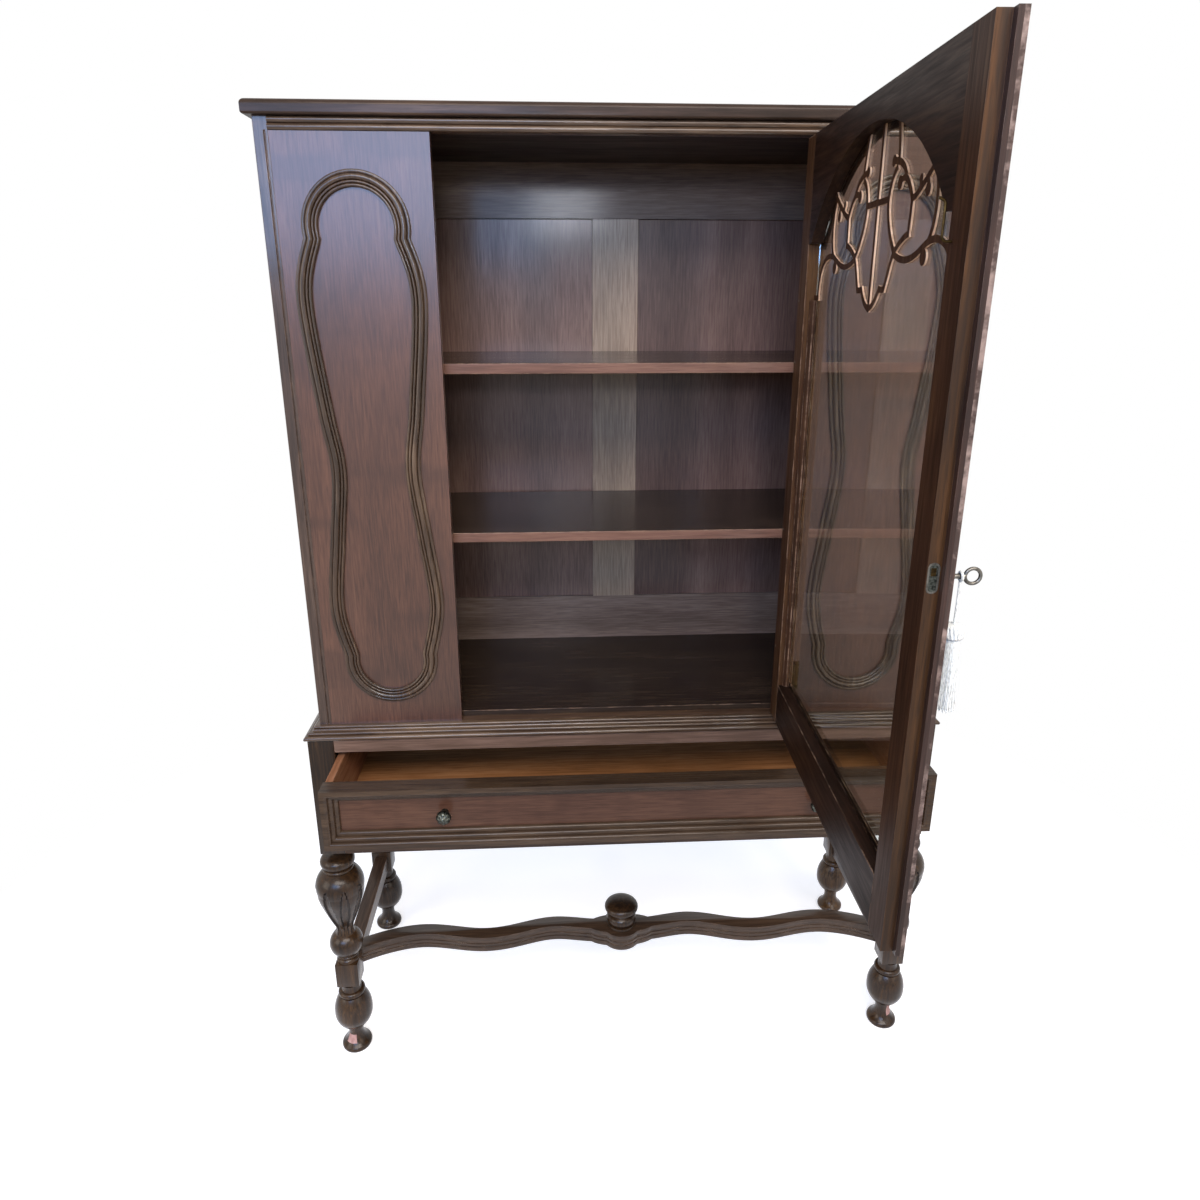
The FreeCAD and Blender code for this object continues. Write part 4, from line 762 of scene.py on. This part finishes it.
def curtain_hook():
    """Small wire hook for a net curtain's rod, inside the closing stile: out, up along it, tip turned out."""
    # each run's length in millimetres and the bend before it in degrees
    runs = ((5, 0), (26, 90), (5, -65))
    bend_step, bend_length = 15, 1.2
    bm = bmesh.new()
    ring = bmesh.ops.create_circle(bm, cap_ends=True, radius=1.3 * MM, segments=10)["verts"]
    set_on_door(bm, ring, door_spot(*HOOK_SPOT), -DOOR_OUT)
    heading = -DOOR_OUT
    axis = heading.cross(UP)
    tip = bm.faces[:]
    for length, bend in runs:
        steps = max(1, abs(bend) // bend_step)
        turn = Matrix.Rotation(math.radians(bend / steps), 3, axis)
        for step in range(steps):
            grown = bmesh.ops.extrude_face_region(bm, geom=tip)["geom"]
            ends = of_kind(grown, bmesh.types.BMVert)
            tip = of_kind(grown, bmesh.types.BMFace)
            centre = sum((vert.co for vert in ends), Vector()) / len(ends)
            heading = turn @ heading
            ahead = length if step == steps - 1 else bend_length
            bmesh.ops.rotate(bm, verts=ends, cent=centre, matrix=turn)
            bmesh.ops.translate(bm, verts=ends, vec=heading * ahead * MM)
    left_inside = [face for face in bm.faces if len(face.verts) > 4 and face not in tip]
    bmesh.ops.delete(bm, geom=left_inside, context="FACES")
    bmesh.ops.recalc_face_normals(bm, faces=bm.faces)
    smooth_by_angle(bm, 50)
    place_piece("curtain_hook", bm, [BRASS], "door", "hinge_brass")


def nail_heads():
    """Round heads of small nails on the hinge stile's inner face."""
    bm = bmesh.new()
    for level in NAIL_LEVELS:
        made = bmesh.ops.create_uvsphere(bm, u_segments=16, v_segments=8, radius=1.8 * MM)["verts"]
        bmesh.ops.scale(bm, verts=made, vec=(1, 1, 0.35))
        set_on_door(bm, made, door_spot(NAIL_ACROSS, INNER_FACE, level), -DOOR_OUT)
    smooth_by_angle(bm, 80)
    place_piece("door_nail_heads", bm, [STEEL], "door", "hinge_brass")


# Drawer knobs, in millimetres: radius and how far out, from the foot of the stem to the boss
KNOB_OUTLINE = (
    (0, 0), (6.0, 0), (5.0, 3), (4.6, 8), (6.5, 10.5), (10.6, 12), (12, 15), (11.8, 18), (10.6, 20.6),
    (8.6, 22.4), (6.4, 23.6), (5.2, 23.8), (4.2, 25.4), (2.4, 26.6), (0, 27),
)
KNOB_STEPS = 96
PETALS = 8
BOSS_RADIUS = 5 * MM
FACE_FROM = 14 * MM
PETAL_SLOPE = 3 * MM
PETAL_DEEP = 1.8 * MM
PETAL_NARROW = 0.07


def press_petals(bm):
    """Sink the seams between petals into a knob's face, round its boss."""
    for vert in bm.verts:
        radius = math.hypot(vert.co.x, vert.co.y)
        if vert.co.z > FACE_FROM and radius > BOSS_RADIUS:
            seam = 0.5 - 0.5 * math.cos(PETALS * math.atan2(vert.co.y, vert.co.x))
            sink = seam ** 3 * min(1.0, (radius - BOSS_RADIUS) / PETAL_SLOPE)
            vert.co.z -= PETAL_DEEP * sink
            vert.co.x *= 1 - PETAL_NARROW * sink
            vert.co.y *= 1 - PETAL_NARROW * sink


def knobs():
    """Cast drawer knobs: a stem and a round head with petals pressed into its face."""
    for node in ("knob_left", "knob_right"):
        low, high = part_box(node)
        bm = bmesh.new()
        spun(bm, Vector(), [(radius * MM, out * MM) for radius, out in KNOB_OUTLINE], KNOB_STEPS)
        bmesh.ops.remove_doubles(bm, verts=bm.verts, dist=0.01 * MM)
        press_petals(bm)
        bmesh.ops.recalc_face_normals(bm, faces=bm.faces)
        bmesh.ops.rotate(bm, verts=bm.verts, cent=(0, 0, 0), matrix=Matrix.Rotation(math.pi / 2, 3, "X"))
        bmesh.ops.translate(bm, verts=bm.verts, vec=((low.x + high.x) / 2, high.y, (low.z + high.z) / 2))
        smooth_by_angle(bm, 50)
        place_piece(node + "_cast", bm, [BRONZE], "drawer", "knob_bronze", node)


def shelves():
    """Dark shelf tops and undersides with a paler front edge."""
    for node in ("shelf_low", "shelf_high"):
        bm = stock(node)
        ease_edges(bm, 1.2 * MM)
        smooth_by_angle(bm, 60)
        for face in bm.faces:
            face.material_index = 1 if face.normal.y < -0.6 else 0
        keep_faces_flat(place_piece(node + "_wood", bm, [SHELF, SHELF_EDGE], "case", "shelf_wood", node))


def cupboard_back():
    """Back frame with rails along and a paler muntin up, and its two panels."""
    # the panels are let into the rails by this much
    let_in = 6 * MM
    bm = stock("back_frame")
    low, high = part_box("back_panel_left")
    muntin_low, muntin_high = low.z + let_in, high.z - let_in
    for level in (muntin_low, muntin_high):
        cut_across(bm, (0, 0, level), UP)
    ease_edges(bm, 0.8 * MM)
    for face in bm.faces:
        face.smooth = False
        face.material_index = 1 if muntin_low < face.calc_center_median().z < muntin_high else 0
    place_piece("back_frame_wood", bm, [BACK["x"], MUNTIN], "case", "back_wood", "back_frame")
    boards(("back_panel_left", "back_panel_right"), BACK["z"], "back_wood", 0.4)


def drawer_face():
    """Drawer front: reeded frame in dark walnut round a veneered panel."""
    # the veneered panel is sunk by more than this, and the wood behind it is thicker than this
    least_sunk, least_thick = 15 * MM, 5 * MM
    bm = stock("drawer_front")
    smooth_by_angle(bm)
    low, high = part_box("drawer_front")
    for face in bm.faces:
        depth = face.calc_center_median().y
        sunk = face.normal.y < -0.99 and low.y + least_sunk < depth < high.y - least_thick
        face.material_index = 1 if sunk else 0
    place_piece("drawer_front_work", bm, [DRAWER_FRAME, DRAWER_VENEER], "drawer", "walnut", "drawer_front")


def tracery():
    """Fretwork: dark faces, with the pale wood of the saw cuts showing on every cut edge."""
    bm = stock("fretwork")
    smooth_by_angle(bm)
    for face in bm.faces:
        face.material_index = 0 if abs(face.normal.dot(DOOR_OUT)) > 0.7 else 1
    place_piece("fretwork_sawn", bm, [DOOR_WALNUT["z"], FRET_EDGE], "door", "walnut", "fretwork")


# Tassel. The loop's middle lies this far under the top of the cord's own box
SHANK_DROP = 5.6 * MM
LOOP_RADIUS = 4.2 * MM
LOOP_THICK = 2.8 * MM
CORD_THICK = 2.6 * MM
# the cord's knot lies this far above the skirt's hem
KNOT_ABOVE_HEM = 35 * MM
# the skirt starts inside the head, and the head's wound ridges end above its neck
SKIRT_DOWN = 15 * MM
NECK = -13.5 * MM
RIDGES = 18


def tassel_loop(shank):
    """Loop of cord round the key's shank."""
    bm = bmesh.new()
    ring = bmesh.ops.create_circle(bm, cap_ends=True, radius=LOOP_THICK / 2, segments=10)["verts"]
    bmesh.ops.translate(bm, verts=ring, vec=(LOOP_RADIUS, 0, 0))
    bmesh.ops.rotate(bm, verts=ring, matrix=Matrix.Rotation(math.pi / 2, 3, "X"))
    bmesh.ops.spin(
        bm, geom=bm.verts[:] + bm.edges[:] + bm.faces[:], cent=(0, 0, 0), axis=(0, 0, 1), angle=math.tau,
        steps=32, use_merge=True,
    )
    bmesh.ops.delete(bm, geom=[face for face in bm.faces if len(face.verts) > 4], context="FACES")
    bmesh.ops.recalc_face_normals(bm, faces=bm.faces)
    upright = DOOR_OUT.to_track_quat("Z", "Y").to_matrix().to_4x4()
    bmesh.ops.transform(bm, verts=bm.verts, matrix=Matrix.Translation(shank) @ upright)
    smooth_by_angle(bm, 80)
    return place_piece("tassel_loop", bm, [YARN], "tassel", "tassel_yarn")


def hanging_cord(hang, top, drop):
    """Hanging cord, which runs on through the head to its knot inside the skirt."""
    curve = bpy.data.curves.new("tassel_cord_line", "CURVE")
    curve.dimensions = "3D"
    curve.bevel_depth = CORD_THICK / 2
    curve.bevel_resolution = 3
    curve.use_fill_caps = True
    spline = curve.splines.new("NURBS")
    # how far aside the cord sways on its way down, in millimetres
    sway = (0, 0.5, -0.4, 0.2, 0)
    spline.points.add(len(sway) - 1)
    for index, (point, side) in enumerate(zip(spline.points, sway)):
        spot = Vector((hang.x, hang.y, top - drop * index / (len(sway) - 1))) + DOOR_ACROSS * side * MM
        point.co = (*spot, 1.0)
    spline.order_u = 3
    spline.use_endpoint_u = True
    curve.materials.append(YARN)
    cord = bpy.data.objects.new("tassel_hanging_cord", curve)
    bpy.context.scene.collection.objects.link(cord)
    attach(cord, "tassel")
    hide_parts("tassel_cord")
    return cord


def tassel_head(hang, top):
    """Bound head, round like a small turban, with wound ridges."""
    # radius and level below the top, in millimetres
    outline = (
        (1.5, 0), (7.6, -0.3), (9.6, -1.8), (10.1, -5), (10.1, -11), (9.4, -13.6), (7.2, -15), (6.6, -17),
    )
    bm = bmesh.new()
    spun(bm, Vector(), [(radius * MM, level * MM) for radius, level in outline], 72)
    bmesh.ops.subdivide_edges(bm, edges=bm.edges[:], cuts=1, use_grid_fill=True)
    for vert in bm.verts:
        around = math.atan2(vert.co.y, vert.co.x)
        ridge = 1 + 0.05 * math.sin(RIDGES * around + vert.co.z / MM * 0.35)
        if vert.co.z > NECK:
            vert.co.x *= ridge
            vert.co.y *= ridge
    bmesh.ops.recalc_face_normals(bm, faces=bm.faces)
    bmesh.ops.translate(bm, verts=bm.verts, vec=(hang.x, hang.y, top))
    smooth_by_angle(bm, 80)
    return place_piece("tassel_head", bm, [YARN], "tassel", "tassel_yarn")


def tassel_skirt(hang, top, hem):
    """Skirt of strands in three rings, which spread a little as they fall."""
    draw = random.Random(7)
    fall = top - hem
    bm = bmesh.new()
    # radius of each ring at the neck, in millimetres, and its count of strands
    for ring, count in ((7.2, 44), (5.0, 30), (2.6, 16)):
        for index in range(count):
            turn = math.tau * (index + draw.random() * 0.6) / count
            spread = 1.3 + draw.random() * 0.22
            length = fall * (0.965 + draw.random() * 0.03)
            strand = bmesh.ops.create_cone(
                bm, cap_ends=True, segments=5, radius1=0.72 * MM, radius2=0.6 * MM, depth=length,
            )["verts"]
            bmesh.ops.translate(bm, verts=strand, vec=(0, 0, -length / 2))
            upper = [vert for vert in strand if vert.co.z > -length / 2]
            out = Vector((math.cos(turn), math.sin(turn), 0))
            for vert in strand:
                vert.co += out * ring * MM * (0.92 if vert in upper else spread)
            bmesh.ops.translate(bm, verts=strand, vec=(hang.x, hang.y, top))
    smooth_by_angle(bm, 80)
    return place_piece("tassel_skirt", bm, [YARN], "tassel", "tassel_yarn", "tassel")


def tassel():
    """Cotton tassel on its cord: a loop on the key, a hanging cord, a bound head and a skirt of strands."""
    low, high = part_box("tassel_cord")
    hang = (low + high) / 2
    head_low, head_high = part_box("tassel")
    shank = Vector((hang.x, hang.y, high.z - SHANK_DROP))
    top = shank.z - LOOP_RADIUS
    drop = top - head_low.z - KNOT_ABOVE_HEM
    loop = tassel_loop(shank)
    cord = hanging_cord(hang, top, drop)
    head = tassel_head(hang, head_high.z)
    skirt = tassel_skirt(hang, head_high.z - SKIRT_DOWN, head_low.z)


def carried_over():
    """CAD nodes whose shape is right as it is get their finish."""
    finishes = {
        "glass_pane": GLASS, "key": STEEL, "lock_case": BRONZE, "lock_bolt": BRASS,
        "hinge_case_low": BRASS, "hinge_case_high": BRASS, "hinge_door_low": BRASS, "hinge_door_high": BRASS,
    }
    for node, material in finishes.items():
        mesh = frame["nodes"][node].data
        mesh.materials.clear()
        mesh.materials.append(material)


# Stage, light and camera

def seen_itself(tree):
    """1 where a thing is seen, also mirrored or through glass, and 0 where it only throws light on others."""
    ray = add(tree, "LightPath")
    straight = add(tree, "Math", {
        0: ray.outputs["Is Camera Ray"], 1: ray.outputs["Is Transmission Ray"],
    }, operation="MAXIMUM")
    seen = add(tree, "Math", {
        0: straight.outputs[0], 1: ray.outputs["Is Glossy Ray"],
    }, operation="MAXIMUM")
    return seen.outputs[0]


def stage():
    """Floor: white paper with a shadow on it where it is seen, and brown in the light it throws up."""
    bm = bmesh.new()
    bmesh.ops.create_grid(bm, x_segments=1, y_segments=1, size=30)
    mesh = bpy.data.meshes.new("studio_floor")
    bm.to_mesh(mesh)
    bm.free()
    material, tree, room = finish("studio_floor_paper")
    feed(tree, room, {"Base Color": linear("#8a7866"), "Roughness": 0.8})
    paper = add(tree, "BsdfDiffuse", {"Color": linear("#f6f4f1")})
    lift = add(tree, "Emission", {"Color": (1, 1, 1, 1), "Strength": 0.4})
    near = add(tree, "AddShader", {0: paper.outputs[0], 1: lift.outputs[0]})
    # from 0.7 m out the paper fades, and past 1.5 m it is plain white
    at = add(tree, "TexCoord").outputs["Object"]
    away = add(tree, "VectorMath", {0: at}, operation="LENGTH")
    fade = add(tree, "MapRange", {"Value": away.outputs["Value"], "From Min": 0.7, "From Max": 1.5})
    plain = add(tree, "Emission", {"Color": (1, 1, 1, 1), "Strength": 1.0})
    white = add(tree, "MixShader", {0: fade.outputs[0], 1: near.outputs[0], 2: plain.outputs[0]})
    shown = add(tree, "MixShader", {0: seen_itself(tree), 1: room.outputs[0], 2: white.outputs[0]})
    tree.links.new(shown.outputs[0], tree.nodes["Material Output"].inputs["Surface"])
    mesh.materials.append(material)
    floor = bpy.data.objects.new("studio_floor", mesh)
    bpy.context.scene.collection.objects.link(floor)


def surround():
    """Surround: white where it is seen; as a source of light, cool above and brown below."""
    world = bpy.data.worlds.new("studio_surround")
    bpy.context.scene.world = world
    world.use_nodes = True
    tree = world.node_tree
    way = add(tree, "SeparateXYZ", {0: add(tree, "TexCoord").outputs["Generated"]})
    height = add(tree, "MapRange", {"Value": way.outputs["Z"], "From Min": -1.0, "From Max": 1.0})
    room = add(tree, "ValToRGB", {"Fac": height.outputs[0]}, stops=[
        (0.45, "#4d3d30"), (0.52, "#8f867d"), (0.6, "#b3b8c6"), (1.0, "#d5dcec"),
    ])
    colour = add(tree, "Mix", {
        0: seen_itself(tree), 6: room.outputs[0], 7: (1, 1, 1, 1),
    }, data_type="RGBA")
    feed(tree, tree.nodes["Background"], {"Color": colour.outputs[2], "Strength": 1.0})


def lamp(name, place, target, size, power, colour):
    """A soft rectangular lamp aimed at a point."""
    light = bpy.data.lights.new(name, "AREA")
    light.shape = "RECTANGLE"
    light.size, light.size_y = size
    light.energy = power
    light.color = linear(colour)[:3]
    item = bpy.data.objects.new(name, light)
    aim = (Vector(target) - Vector(place)).to_track_quat("-Z", "Y")
    item.matrix_world = Matrix.Translation(place) @ aim.to_matrix().to_4x4()
    bpy.context.scene.collection.objects.link(item)


def lights():
    """A cool window on the left with one bright pane, a warm lamp high in front, and fill from both sides."""
    lamp("window_left", (-1.0, -3.2, 2.0), (-0.3, 0, 1.3), (1.7, 0.95), 51, "#92c0ff")
    lamp("window_pane", (-0.04, -3.2, 1.85), (-0.09, 0.17, 1.52), (0.34, 0.2), 14, "#eef2ff")
    lamp("front_high", (0.3, -2.7, 3.1), (0, 0, 0.9), (3.0, 1.2), 120, "#fff4ea")
    lamp("room_left", (-3.0, -1.8, 1.5), (0, 0, 0.8), (1.6, 1.8), 30, "#fff4e6")
    lamp("room_right", (2.8, -2.6, 1.6), (0.2, -0.2, 0.9), (1.8, 1.8), 18, "#ffeedd")


def camera():
    """The photograph's viewpoint, turned a little right and tilted down on the cupboard."""
    place = (-0.1136, -1.4497, 1.3656)
    yaw = 0.0542
    pitch = -0.3076
    ahead = Vector((math.sin(yaw) * math.cos(pitch), math.cos(yaw) * math.cos(pitch), math.sin(pitch)))
    right = Vector((math.cos(yaw), -math.sin(yaw), 0))
    turn = Matrix((right, right.cross(ahead), -ahead)).transposed()
    lens = bpy.data.cameras.new("photo_camera")
    lens.sensor_fit = "HORIZONTAL"
    lens.sensor_width = 36
    lens.lens = 25.17
    lens.shift_x = -0.00087
    lens.shift_y = -0.0294
    lens.clip_start = 0.05
    item = bpy.data.objects.new("photo_camera", lens)
    item.matrix_world = Matrix.Translation(place) @ turn.to_4x4()
    bpy.context.scene.collection.objects.link(item)
    bpy.context.scene.camera = item


camera()
stage()
surround()
lights()
tassel()
boards(("post_left", "post_right"), POST, "walnut")
boards(("side_left", "side_right"), WALNUT["z"], "walnut")
boards(("front_panel_left", "front_panel_right"), VENEER, "panel_veneer", 0.6)
boards(("floor_board",), SHELF, "shelf_wood")
boards(("door_sill", "lower_front_rail"), WALNUT["x"], "walnut")
boards(("lower_top_rail",), RAIL_PAINTED_LIGHT, "walnut")
boards(("lower_back",), BACK["x"], "back_wood")
boards(("lower_side_left", "lower_side_right"), WALNUT["y"], "walnut", 1.2)
boards(("side_stretcher_left", "side_stretcher_right"), WALNUT["y"], "walnut", 1.2)
boards(("runner_left", "runner_right", "drawer_side_left", "drawer_side_right"), DRAWER_SIDE, "drawer_wood")
boards(("drawer_back", "drawer_bottom"), DRAWER_IN, "drawer_wood")
boards(("door_stile_hinge", "glass_bead_hinge", "glass_bead_free"), DOOR_WALNUT["z"], "walnut", 1.0)
boards(("door_rail_low",), DOOR_WALNUT["y"], "walnut", 1.0)
shaped(("door_rail_arch",), DOOR_WALNUT["y"], "walnut")
serpentine()
shaped(("top_board",), TOP, "walnut")
shaped(("header_moulding", "waist_front"), MOULDING["x"], "walnut")
shaped(("waist_left", "waist_right"), MOULDING["y"], "walnut")
finial()
legs()
violins()
free_stile()
lock_rim()
curtain_hook()
nail_heads()
knobs()
shelves()
cupboard_back()
drawer_face()
tracery()
carried_over()

bpy.context.scene.view_settings.view_transform = "Standard"
